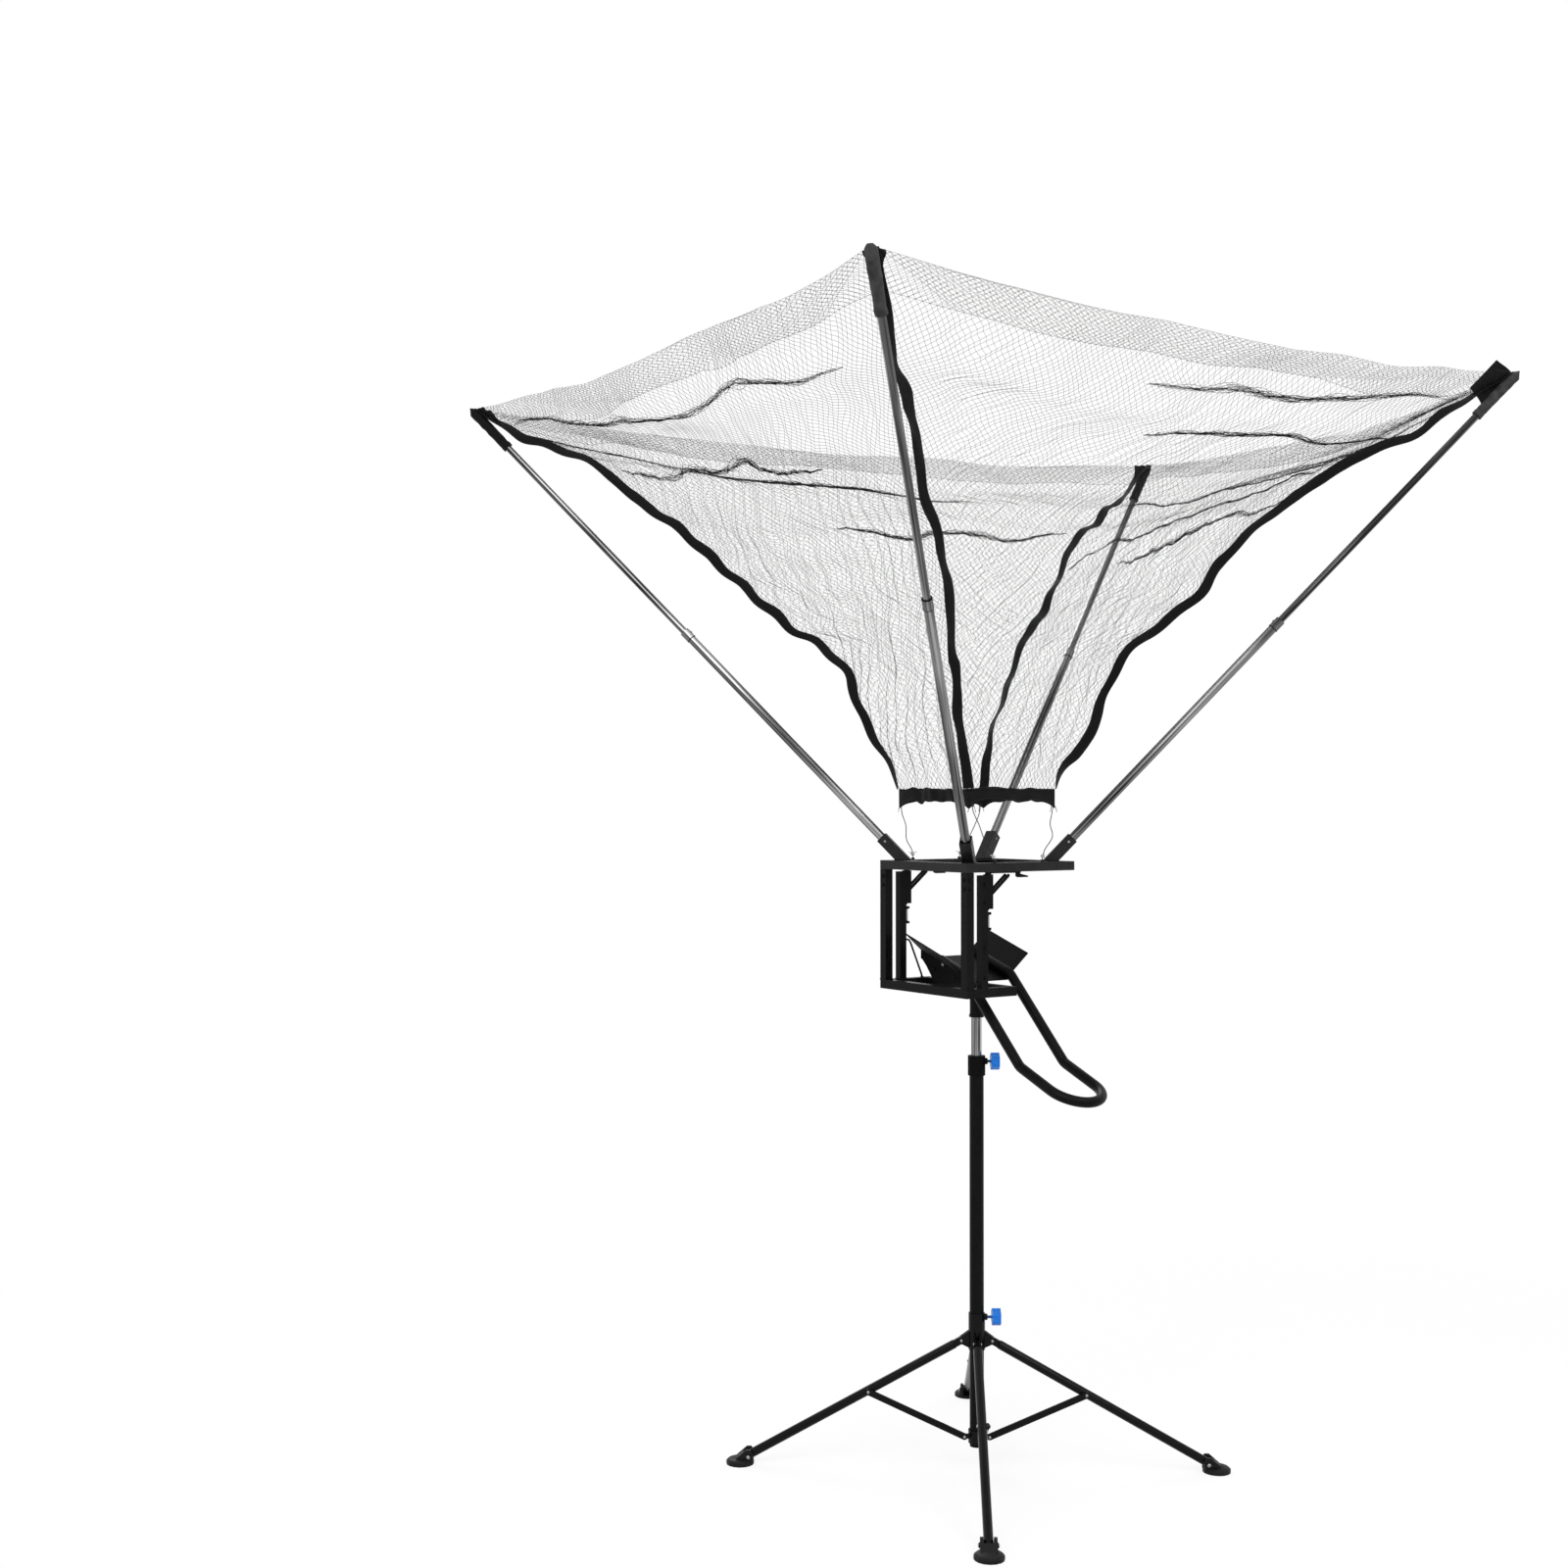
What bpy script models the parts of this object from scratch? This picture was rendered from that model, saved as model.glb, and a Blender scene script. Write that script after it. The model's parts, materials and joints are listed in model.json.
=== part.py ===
"""Basketball return net: folding stand, telescoping mast, head frame, ball chute, poles and funnel net.

Metres, +Z up. The origin is on the floor under the mast. The chute points to -Y and the posts are at -X.
"""
from math import atan2, cos, hypot, pi, radians, sin, tan

import bmesh
import bpy
from mathutils import Matrix, Vector

# Fits shared by all pieces
GAP = 0.0003
WELD = 0.001
SINK = 0.00025
OVERRUN = 0.002
SHARP_ANGLE = radians(35)
ROUND_SIDES = 16
PIN_SIDES = 10
HALF_ROUND_STEPS = 6
ROUND_END_STEPS = 8

# Lower tube, mast and clamp collar
LOWER_TUBE_RADIUS = 0.020
LOWER_TUBE_WALL = 0.002
LOWER_TUBE_FOOT = 0.060
LOWER_TUBE_TOP = 1.118
MAST_RADIUS = 0.015
MAST_WALL = 0.0015
MAST_FOOT = 0.180
MAST_SHOW = 0.108
MAST_GUIDE_HEIGHT = 0.020
CLAMP_WALL = 0.0045
CLAMP_SLEEVE = 0.022
CLAMP_CAP = 0.033

# Clamp screws
KNOB_AZIMUTH = radians(-34)
KNOB_RADIUS = 0.0240
KNOB_THICKNESS = 0.024
KNOB_LOBES = 6
KNOB_LOBE_DEPTH = 0.0030
KNOB_LOBE_POINTS = 8
KNOB_STEM_RADIUS = 0.004
MAST_KNOB_STEM_SHOW = 0.015
HUB_KNOB_STEM_SHOW = 0.019
BOSS_RADIUS = 0.009
BOSS_REACH = 0.006
MAST_KNOB_RISE = 0.017

# Legs: (name, azimuth in degrees, side of the leg that its brace passes)
LEGS = (
    ("back_right", 53, -1),
    ("back_left", 143, 1),
    ("front_left", 233, 1),
    ("front_right", 323, -1),
)
PIN_RADIUS = 0.003
PIN_HEAD_RADIUS = 0.0055
PIN_HEAD_THICKNESS = 0.0020
HUB_WALL = 0.003
HUB_PIVOT_REACH = 0.043
HUB_PIVOT_HEIGHT = 0.355
HUB_SKIRT = 0.025
HUB_SLEEVE_RISE = 0.077
HUB_KNOB_RISE = 0.065
LUG_THICKNESS = 0.003
LUG_ROUND = 0.010
HUB_LUG_RISE = 0.028
HUB_LUG_DROP = 0.020
LEG_RADIUS = 0.0125
LEG_WALL = 0.0015
LEG_TUBE_START = 0.022
LEG_TAIL = 0.006
LEG_PLUG = 0.030
TONGUE_THICKNESS = 0.010
TONGUE_ROUND = 0.010
FOOT_PIVOT_REACH = 0.640

# Braces and their collar
COLLAR_PIVOT_REACH = 0.035
COLLAR_PIVOT_HEIGHT = 0.090
COLLAR_WALL = 0.004
COLLAR_RISE = 0.016
COLLAR_DROP = 0.020
COLLAR_LUG_THICKNESS = 0.004
COLLAR_LUG_ROUND = 0.007
BRACE_JOINT = 0.298
BRACE_WIDTH = 0.018
BRACE_THICKNESS = 0.005
BRACE_CLEARANCE = 0.0005
RIVET_RADIUS = 0.006
RIVET_HEIGHT = 0.0025

# Feet
PAD_RADIUS = 0.039
PAD_RIM_HEIGHT = 0.009
PAD_SHOULDER_INSET = 0.006
PAD_SHOULDER_HEIGHT = 0.014
PAD_CROWN_RADIUS = 0.016
PAD_CROWN_HEIGHT = 0.020
PAD_OFFSET = 0.024
SHOE_CHEEK = 0.0085
SHOE_SLOT_CLEARANCE = 0.0005
SHOE_BACK = 0.013
SHOE_TOP = 0.019
SHOE_TOP_REACH = 0.006
SHOE_FRONT = 0.034
SHOE_FLOOR = 0.009
SHOE_WALL_CLEARANCE = 0.0012
SHOE_LEG_CLEARANCE = 0.00113458
BOLT_HEAD_RADIUS = 0.007
BOLT_HEAD_THICKNESS = 0.003

# Head socket and frames
SOCKET_WALL = 0.004
SOCKET_LENGTH = 0.0707
SOCKET_CAP = 0.010
SOCKET_LIP = 0.002
SOCKET_LIP_HEIGHT = 0.008
BASE_PLATE_THICKNESS = 0.005
BASE_PLATE_BACK = 0.050
BASE_PLATE_FRONT = 0.030
BASE_PLATE_HALF_WIDTH = 0.035
BAR = 0.025
BAR_WALL = 0.0015
DRAIN_RADIUS = 0.003
FRAME_HALF = 0.1925
FRONT_BAR_FACE = -0.0175
WINDOW_HEIGHT = 0.312
INNER_POST = 0.022
INNER_POST_OFFSET = 0.052
INNER_POST_HEADROOM = 0.008
LATCH_RADIUS = 0.004
LATCH_FOOT = 0.155
LATCH_LENGTH = 0.050

# Folding brackets, one under each side bar
HINGE_SETBACK = 0.020
HINGE_DROP = 0.010
BRACKET_PIN_RADIUS = 0.0025
ARM_HALF_WIDTH = 0.011
ARM_FLANGE = 0.002
ARM_WEB = 0.003
ARM_LENGTH = 0.092
ARM_HEADROOM = 0.006
ARM_DEPTH = 0.0175
STRUT_PIVOT_DROP = 0.062
STRUT_PIVOT_INSET = 0.002
STRUT_REACH = 0.063
STRUT_RISE = 0.052
STRUT_HALF_WIDTH = 0.0085
STRUT_PLATE = 0.002
STRUT_DEPTH = 0.005
LEAF_THICKNESS = 0.003
LEAF_BACK = 0.004
LEAF_LENGTH = 0.113
KNUCKLE_RADIUS = 0.0062
LEVER_PIVOT = 0.105
LEVER_PIN_RADIUS = 0.002
LEVER_HALF_WIDTH = 0.0035
LEVER_EAR = 0.002
LEVER_LENGTH = 0.034
LEVER_DEPTH = 0.004
LEVER_GRIP_SHARE = 1.5

# Poles and their sockets
SOCKET_CORNER = 0.145
GUSSET_EDGE = 0.250
GUSSET_THICKNESS = 0.004
POLE_SOCKET_SIZE = 0.032
POLE_SOCKET_LENGTH = 0.090
POLE_SOCKET_FLOOR = 0.018
POLE_SOCKET_CLEARANCE = 0.0006
LOWER_POLE_RADIUS = 0.0125
LOWER_POLE_WALL = 0.0015
UPPER_POLE_RADIUS = 0.010
UPPER_POLE_WALL = 0.0012
POLE_COLLAR_RADIUS = 0.0140
POLE_COLLAR_LENGTH = 0.030
POLE_OVERLAP = 0.080
POLE_JOINT_SHARE = 0.50
TIP_REACH_X = 1.130
TIP_REACH_Y = 1.030
POLE_RISE = 1.331
# Corner: (side in X, side in Y, shares of the tip's reach in X and Y, share of the pole's rise)
CORNERS = (
    ("front_left", -1, -1, 1.000, 1.000, 0.975),
    ("back_left", -1, 1, 0.935, 1.000, 0.985),
    ("front_right", 1, -1, 1.000, 0.910, 1.000),
    ("back_right", 1, 1, 1.005, 0.470, 0.958),
)

# Net, hem, webbing and ties
HEM_HALF = 0.157
HEM_RISE = 0.1655
HEM_HEIGHT = 0.035
WEBBING_THICKNESS = 0.002
WEBBING_WIDTH = 0.030
POCKET_WALL = 0.0022
POCKET_LENGTH = 0.150
POCKET_CAP = 0.004
SEAM_STEPS = 22
CURVE_STEPS = 12
# Seam from the tip to the hem: shares of its reach and of its rise
SEAM_SHARES = (
    (0.90, 0.925), (0.78, 0.86), (0.66, 0.80), (0.52, 0.70), (0.43, 0.61),
    (0.35, 0.52), (0.25, 0.42), (0.15, 0.31), (0.08, 0.19), (0.03, 0.09),
)
NET_STRAND = 0.004
NET_COLUMNS = 10
NET_ROWS = 8
NET_SAG = 0.045
NET_CLEARANCE = 0.0006
CORD_RADIUS = 0.00125
CORD_STEP = 0.009
EYE_RADIUS = 0.005
EYE_HEIGHT = 0.006
EYE_INSET = 0.085
CORD_HEM_INSET = 0.012

# Chute
CHUTE_INNER = 0.093
CHUTE_SHEET = 0.003
CHUTE_BACK = 0.130
CHUTE_FRONT = -0.045
CHUTE_SLOPE = 0.3237
CHUTE_FRONT_RISE = 0.0275
CHUTE_DEPTH = 0.0225
WING_REACH = 0.057
WING_RISE = 0.048
GUSSET_BACK = 0.075
GUSSET_KNEE = 0.105
GUSSET_SEAT = 0.002
CHUTE_PAD = 0.012
CHUTE_PADS = (-0.030, 0.060)
RAIL_RADIUS = 0.014
RAIL_WALL = 0.0015
RAIL_LIFT = -0.003
RAIL_START = 0.060
RAIL_BEND = 0.050
# Rail in (Y, height above the chute's front edge)
RAIL_KNEE = -0.050
RAIL_LOW = (-0.275, -0.2315)
RAIL_END = (-0.395, -0.279)
RAIL_SIDES = 10
RAIL_ARC_STEPS = 10
BEND_STEPS = 3

# Heights and places that follow from the sizes above
CLAMP_FOOT = LOWER_TUBE_TOP - CLAMP_SLEEVE
CLAMP_TOP = LOWER_TUBE_TOP + CLAMP_CAP
SOCKET_FOOT = CLAMP_TOP + MAST_SHOW
SOCKET_TOP = SOCKET_FOOT + SOCKET_LENGTH
BASE_PLATE_FOOT = SOCKET_TOP + GAP
LOWER_FRAME_FOOT = BASE_PLATE_FOOT + BASE_PLATE_THICKNESS
LOWER_FRAME_TOP = LOWER_FRAME_FOOT + BAR
TOP_FRAME_FOOT = LOWER_FRAME_TOP + WINDOW_HEIGHT
TOP_FRAME_TOP = TOP_FRAME_FOOT + BAR
BAR_CENTRE = FRAME_HALF - BAR / 2
INNER_POST_X = -BAR_CENTRE + INNER_POST_OFFSET
INNER_POST_FACE = INNER_POST_X + INNER_POST / 2
HINGE_X = INNER_POST_X + HINGE_SETBACK
HINGE_HEIGHT = TOP_FRAME_FOOT - HINGE_DROP
STRUT_PIVOT_X = HINGE_X + STRUT_PIVOT_INSET
STRUT_PIVOT_HEIGHT = TOP_FRAME_FOOT - STRUT_PIVOT_DROP
FOOT_PIVOT_HEIGHT = SHOE_FLOOR + SHOE_LEG_CLEARANCE + hypot(LEG_TAIL, LEG_RADIUS)
LEG_SLOPE = atan2(HUB_PIVOT_HEIGHT - FOOT_PIVOT_HEIGHT, FOOT_PIVOT_REACH - HUB_PIVOT_REACH)
LEG_LENGTH = hypot(HUB_PIVOT_HEIGHT - FOOT_PIVOT_HEIGHT, FOOT_PIVOT_REACH - HUB_PIVOT_REACH)
JOINT_REACH = HUB_PIVOT_REACH + BRACE_JOINT * cos(LEG_SLOPE)
JOINT_HEIGHT = HUB_PIVOT_HEIGHT - BRACE_JOINT * sin(LEG_SLOPE)
BRACE_SLOPE = atan2(JOINT_HEIGHT - COLLAR_PIVOT_HEIGHT, JOINT_REACH - COLLAR_PIVOT_REACH)
BRACE_LENGTH = hypot(JOINT_HEIGHT - COLLAR_PIVOT_HEIGHT, JOINT_REACH - COLLAR_PIVOT_REACH)
BRACE_OFFSET = LEG_RADIUS + BRACE_CLEARANCE + BRACE_THICKNESS / 2
HEM_FOOT = TOP_FRAME_TOP + HEM_RISE
HEM_TOP = HEM_FOOT + HEM_HEIGHT
CHUTE_FRONT_HEIGHT = LOWER_FRAME_TOP + CHUTE_FRONT_RISE
RAIL_OFFSET = CHUTE_INNER - GAP - RAIL_RADIUS
HUB_OUTER = LOWER_TUBE_RADIUS + GAP + HUB_WALL
CLAMP_OUTER = LOWER_TUBE_RADIUS + CLAMP_WALL


# Materials and objects
def finish(name, color, roughness, metallic):
    """A plain surface in one colour."""
    surface = bpy.data.materials.new(name)
    surface.use_nodes = True
    shader = surface.node_tree.nodes["Principled BSDF"]
    shader.inputs["Base Color"].default_value = (*color, 1)
    shader.inputs["Roughness"].default_value = roughness
    shader.inputs["Metallic"].default_value = metallic
    return surface


def add(name, shape, surface, place=None):
    """Makes a named object from a shape, at its place."""
    bmesh.ops.recalc_face_normals(shape, faces=shape.faces[:])
    mesh = bpy.data.meshes.new(name)
    shape.to_mesh(mesh)
    shape.free()
    if surface:
        mesh.materials.append(surface)
    mesh.set_sharp_from_angle(angle=SHARP_ANGLE)
    piece = bpy.data.objects.new(name, mesh)
    bpy.context.scene.collection.objects.link(piece)
    if place is not None:
        piece.matrix_world = place
    return piece


def combine(piece, shape, operation, place=None):
    """Joins a shape to a piece, or cuts it out, in the piece's own frame."""
    tool_name = f"tool_{piece.name}_{len(piece.modifiers)}"
    tool = add(tool_name, shape, None)
    tool.parent = piece
    tool.matrix_local = place if place is not None else Matrix()
    tool.hide_render = True
    tool.display_type = "WIRE"
    step = piece.modifiers.new(tool_name, "BOOLEAN")
    step.operation = operation
    step.solver = "EXACT"
    step.object = tool
    return tool


def join(piece, shape, place=None):
    return combine(piece, shape, "UNION", place)


def cut(piece, shape, place=None):
    return combine(piece, shape, "DIFFERENCE", place)


# Shapes
def lathe(outline, sides=ROUND_SIDES):
    """Turns a closed outline of (radius, height) about Z; a zero radius lies on the axis."""
    shape = bmesh.new()
    rings = []
    for radius, height in outline:
        turns = [2 * pi * k / sides for k in range(sides)] if radius else [0]
        rings.append([shape.verts.new((radius * cos(t), radius * sin(t), height)) for t in turns])
    for ring, after in zip(rings, rings[1:] + rings[:1]):
        if len(ring) == 1 and len(after) == 1:
            continue
        for k in range(sides):
            m = (k + 1) % sides
            corners = [ring[k % len(ring)], ring[m % len(ring)], after[m % len(after)], after[k % len(after)]]
            shape.faces.new(list(dict.fromkeys(corners)))
    return shape


def rod(radius, low, high, sides=PIN_SIDES):
    """A solid round bar along Z."""
    return lathe([(0, low), (radius, low), (radius, high), (0, high)], sides)


def tube(radius, wall, low, high, sides=ROUND_SIDES):
    """A tube along Z, open at both ends."""
    return lathe([(radius, low), (radius, high), (radius - wall, high), (radius - wall, low)], sides)


def headed_pin(radius, head_radius, head, half_length, sides=PIN_SIDES):
    """A pin along Z with a head on each end, centred."""
    end = half_length + head
    return lathe([(0, -end), (head_radius, -end), (head_radius, -half_length), (radius, -half_length),
                  (radius, half_length), (head_radius, half_length), (head_radius, end), (0, end)], sides)


def slab(outline, low, high, plane="XY"):
    """Thickens an outline from low to high along the axis that its plane leaves out."""
    spots = {"XY": lambda a, b, c: (a, b, c), "XZ": lambda a, b, c: (a, c, b), "YZ": lambda a, b, c: (c, a, b)}
    shape = bmesh.new()
    ends = [[shape.verts.new(spots[plane](a, b, c)) for a, b in outline] for c in (low, high)]
    shape.faces.new(ends[0])
    shape.faces.new(ends[1])
    count = len(outline)
    for k in range(count):
        m = (k + 1) % count
        shape.faces.new((ends[0][k], ends[0][m], ends[1][m], ends[1][k]))
    return shape


def box(low, high):
    """A box between two corners."""
    (x0, y0, z0), (x1, y1, z1) = low, high
    return slab([(x0, y0), (x1, y0), (x1, y1), (x0, y1)], z0, z1)


def pipe(outer, inner, low, high):
    """A wall along Z between two outlines with as many points each."""
    shape = bmesh.new()
    count = len(outer)
    rings = []
    for outline, height in ((outer, low), (outer, high), (inner, high), (inner, low)):
        rings.append([shape.verts.new((x, y, height)) for x, y in outline])
    for ring, after in zip(rings, rings[1:] + rings[:1]):
        for k in range(count):
            m = (k + 1) % count
            shape.faces.new((ring[k], ring[m], after[m], after[k]))
    return shape


def rectangle(x0, x1, y0, y1):
    return [(x0, y0), (x1, y0), (x1, y1), (x0, y1)]


def arc(centre, radius, start, end, steps):
    """Points on an arc in a plane; angles in radians."""
    turns = [start + (end - start) * k / steps for k in range(steps + 1)]
    return [(centre[0] + radius * cos(t), centre[1] + radius * sin(t)) for t in turns]


def turned(shape, matrix):
    bmesh.ops.transform(shape, matrix=matrix, verts=shape.verts[:])
    return shape


def gathered(*shapes):
    """Puts shapes that don't touch in one mesh."""
    whole = bmesh.new()
    for shape in shapes:
        mesh = bpy.data.meshes.new("gathered")
        shape.to_mesh(mesh)
        shape.free()
        whole.from_mesh(mesh)
        bpy.data.meshes.remove(mesh)
    return whole


def move(x, y, z):
    return Matrix.Translation((x, y, z))


def spin(azimuth):
    return Matrix.Rotation(azimuth, 4, "Z")


def tilt(angle):
    """A turn about Y that lowers what points along +X."""
    return Matrix.Rotation(angle, 4, "Y")


ALONG_X = Matrix.Rotation(pi / 2, 4, "Y")
ALONG_Y = Matrix.Rotation(-pi / 2, 4, "X")


# Lower tube, mast, collars and clamp screws
def build_column(black, chrome):
    bore = LOWER_TUBE_RADIUS + GAP
    mast_bore = MAST_RADIUS + GAP
    add("lower_tube", tube(LOWER_TUBE_RADIUS, LOWER_TUBE_WALL, LOWER_TUBE_FOOT, LOWER_TUBE_TOP), black)

    guide = LOWER_TUBE_RADIUS - LOWER_TUBE_WALL - GAP
    guide_top = MAST_FOOT + MAST_GUIDE_HEIGHT
    mast_top = SOCKET_TOP - SOCKET_CAP - GAP
    inside = MAST_RADIUS - MAST_WALL
    add("mast_tube", lathe([(inside, MAST_FOOT), (guide, MAST_FOOT), (guide, guide_top),
                            (MAST_RADIUS, guide_top), (MAST_RADIUS, mast_top), (inside, mast_top)]), chrome)

    step = LOWER_TUBE_TOP + GAP
    collar = add("clamp_collar", lathe([(bore, CLAMP_FOOT), (CLAMP_OUTER, CLAMP_FOOT), (CLAMP_OUTER, CLAMP_TOP),
                                        (mast_bore, CLAMP_TOP), (mast_bore, step), (bore, step)]), black)
    add_boss(collar, CLAMP_OUTER, MAST_RADIUS, LOWER_TUBE_TOP + MAST_KNOB_RISE)

    low = COLLAR_PIVOT_HEIGHT - COLLAR_DROP
    high = COLLAR_PIVOT_HEIGHT + COLLAR_RISE
    add_brace_lugs(add("brace_collar", tube(bore + COLLAR_WALL, COLLAR_WALL, low, high), black))


def add_boss(sleeve, sleeve_radius, tip_radius, height):
    """A threaded boss on a sleeve for its clamp screw, bored through to what the screw presses."""
    turn = spin(KNOB_AZIMUTH)
    start = sleeve_radius - 2 * WELD
    boss = rod(BOSS_RADIUS, start, sleeve_radius + BOSS_REACH, ROUND_SIDES)
    bore = rod(KNOB_STEM_RADIUS + GAP, tip_radius - OVERRUN, sleeve_radius + BOSS_REACH + OVERRUN)
    lift = move(0, 0, height - sleeve.matrix_world.translation.z)
    join(sleeve, turned(boss, ALONG_X), lift @ turn)
    cut(sleeve, turned(bore, ALONG_X), lift @ turn)


def add_knob(name, surface, height, tip_radius, head_start):
    """A lobed knob on a stem whose tip stops just short of what it clamps."""
    points = KNOB_LOBE_POINTS * KNOB_LOBES
    mean = KNOB_RADIUS - KNOB_LOBE_DEPTH / 2
    outline = []
    for k in range(points):
        t = 2 * pi * k / points
        radius = mean + KNOB_LOBE_DEPTH / 2 * cos(KNOB_LOBES * t)
        outline.append((radius * cos(t), radius * sin(t)))
    place = spin(KNOB_AZIMUTH) @ move(head_start, 0, 0)
    place = move(0, 0, height) @ place
    knob = add(name, turned(slab(outline, 0, KNOB_THICKNESS), ALONG_X), surface, place)
    stem = rod(KNOB_STEM_RADIUS, tip_radius + GAP - head_start, WELD)
    join(knob, turned(stem, ALONG_X))


def add_brace_lugs(collar):
    """A lug beside each leg's plane, with the pin that its brace turns on."""
    inner = LOWER_TUBE_RADIUS
    near_face = BRACE_OFFSET - BRACE_THICKNESS / 2 - GAP
    outline = [(inner, -COLLAR_LUG_ROUND)]
    outline += arc((COLLAR_PIVOT_REACH, 0), COLLAR_LUG_ROUND, -pi / 2, pi / 2, HALF_ROUND_STEPS)
    outline += [(inner, COLLAR_LUG_ROUND)]
    for _, azimuth, side in LEGS:
        place = move(0, 0, COLLAR_PIVOT_HEIGHT) @ spin(radians(azimuth))
        faces = sorted((side * near_face, side * (near_face - COLLAR_LUG_THICKNESS)))
        join(collar, slab(outline, faces[0], faces[1], "XZ"), place)
        root = near_face - COLLAR_LUG_THICKNESS / 2
        shoulder = BRACE_OFFSET + BRACE_THICKNESS / 2 + GAP
        pin = lathe([(0, root), (PIN_RADIUS, root), (PIN_RADIUS, shoulder), (PIN_HEAD_RADIUS, shoulder),
                     (PIN_HEAD_RADIUS, shoulder + PIN_HEAD_THICKNESS), (0, shoulder + PIN_HEAD_THICKNESS)], PIN_SIDES)
        lay = ALONG_Y if side > 0 else Matrix.Rotation(pi / 2, 4, "X")
        join(collar, turned(pin, lay), place @ move(COLLAR_PIVOT_REACH, 0, 0))


# Hub, legs, braces and feet
def build_hub(black):
    bore = LOWER_TUBE_RADIUS + GAP
    place = move(0, 0, HUB_PIVOT_HEIGHT)
    hub = add("leg_hub", tube(HUB_OUTER, HUB_WALL, -HUB_SKIRT, HUB_SLEEVE_RISE), black, place)
    bpy.context.view_layer.update()
    inner = bore + HUB_WALL / 3
    outline = [(inner, -HUB_LUG_DROP)]
    outline += arc((HUB_PIVOT_REACH, 0), LUG_ROUND, -pi / 2, pi / 3, HALF_ROUND_STEPS)
    outline += [(inner, HUB_LUG_RISE)]
    face = TONGUE_THICKNESS / 2 + GAP
    for _, azimuth, _ in LEGS:
        turn = spin(radians(azimuth))
        for side in (-1, 1):
            faces = sorted((side * face, side * (face + LUG_THICKNESS)))
            join(hub, slab(outline, faces[0], faces[1], "XZ"), turn)
        pin = headed_pin(PIN_RADIUS, PIN_HEAD_RADIUS, PIN_HEAD_THICKNESS, face + LUG_THICKNESS - SINK)
        join(hub, turned(pin, ALONG_Y), turn @ move(HUB_PIVOT_REACH, 0, 0))
    add_boss(hub, HUB_OUTER, LOWER_TUBE_RADIUS, HUB_PIVOT_HEIGHT + HUB_KNOB_RISE)


def pin_hole(half_length):
    return turned(rod(PIN_RADIUS + GAP, -half_length, half_length), ALONG_Y)


def build_leg(name, azimuth, black):
    """A tube with a flat tongue on the hub's pin and a cross hole for the foot's bolt."""
    place = spin(azimuth) @ move(HUB_PIVOT_REACH, 0, HUB_PIVOT_HEIGHT) @ tilt(LEG_SLOPE)
    end = LEG_LENGTH + LEG_TAIL
    bore = LEG_RADIUS - LEG_WALL
    blind = LEG_TUBE_START + LEG_PLUG
    profile = [(0, LEG_TUBE_START), (LEG_RADIUS, LEG_TUBE_START), (LEG_RADIUS, end), (bore, end),
               (bore, blind), (0, blind)]
    leg = add(f"leg_{name}", turned(lathe(profile, ROUND_SIDES), ALONG_X), black, place)
    outline = arc((0, 0), TONGUE_ROUND, pi / 2, 3 * pi / 2, ROUND_END_STEPS)
    outline += [(LEG_TUBE_START + LEG_PLUG / 2, -TONGUE_ROUND), (LEG_TUBE_START + LEG_PLUG / 2, TONGUE_ROUND)]
    half = TONGUE_THICKNESS / 2
    join(leg, slab(outline, -half, half, "XZ"))
    cut(leg, pin_hole(TONGUE_THICKNESS))
    cut(leg, pin_hole(2 * LEG_RADIUS), move(LEG_LENGTH, 0, 0))


def build_brace(name, azimuth, side, black):
    """A flat bar beside the leg, with the rivet that meets the leg on its outer end."""
    place = spin(azimuth) @ move(COLLAR_PIVOT_REACH, side * BRACE_OFFSET, COLLAR_PIVOT_HEIGHT) @ tilt(-BRACE_SLOPE)
    half_width = BRACE_WIDTH / 2
    outline = arc((0, 0), half_width, pi / 2, 3 * pi / 2, ROUND_END_STEPS)
    outline += arc((BRACE_LENGTH, 0), half_width, -pi / 2, pi / 2, ROUND_END_STEPS)
    half = BRACE_THICKNESS / 2
    brace = add(f"brace_{name}", slab(outline, -half, half, "XZ"), black, place)
    cut(brace, pin_hole(BRACE_THICKNESS))
    rivet = rod(RIVET_RADIUS, half - WELD, half + RIVET_HEIGHT)
    lay = ALONG_Y if side > 0 else Matrix.Rotation(pi / 2, 4, "X")
    join(brace, turned(rivet, lay), move(BRACE_LENGTH, 0, 0))


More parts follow.
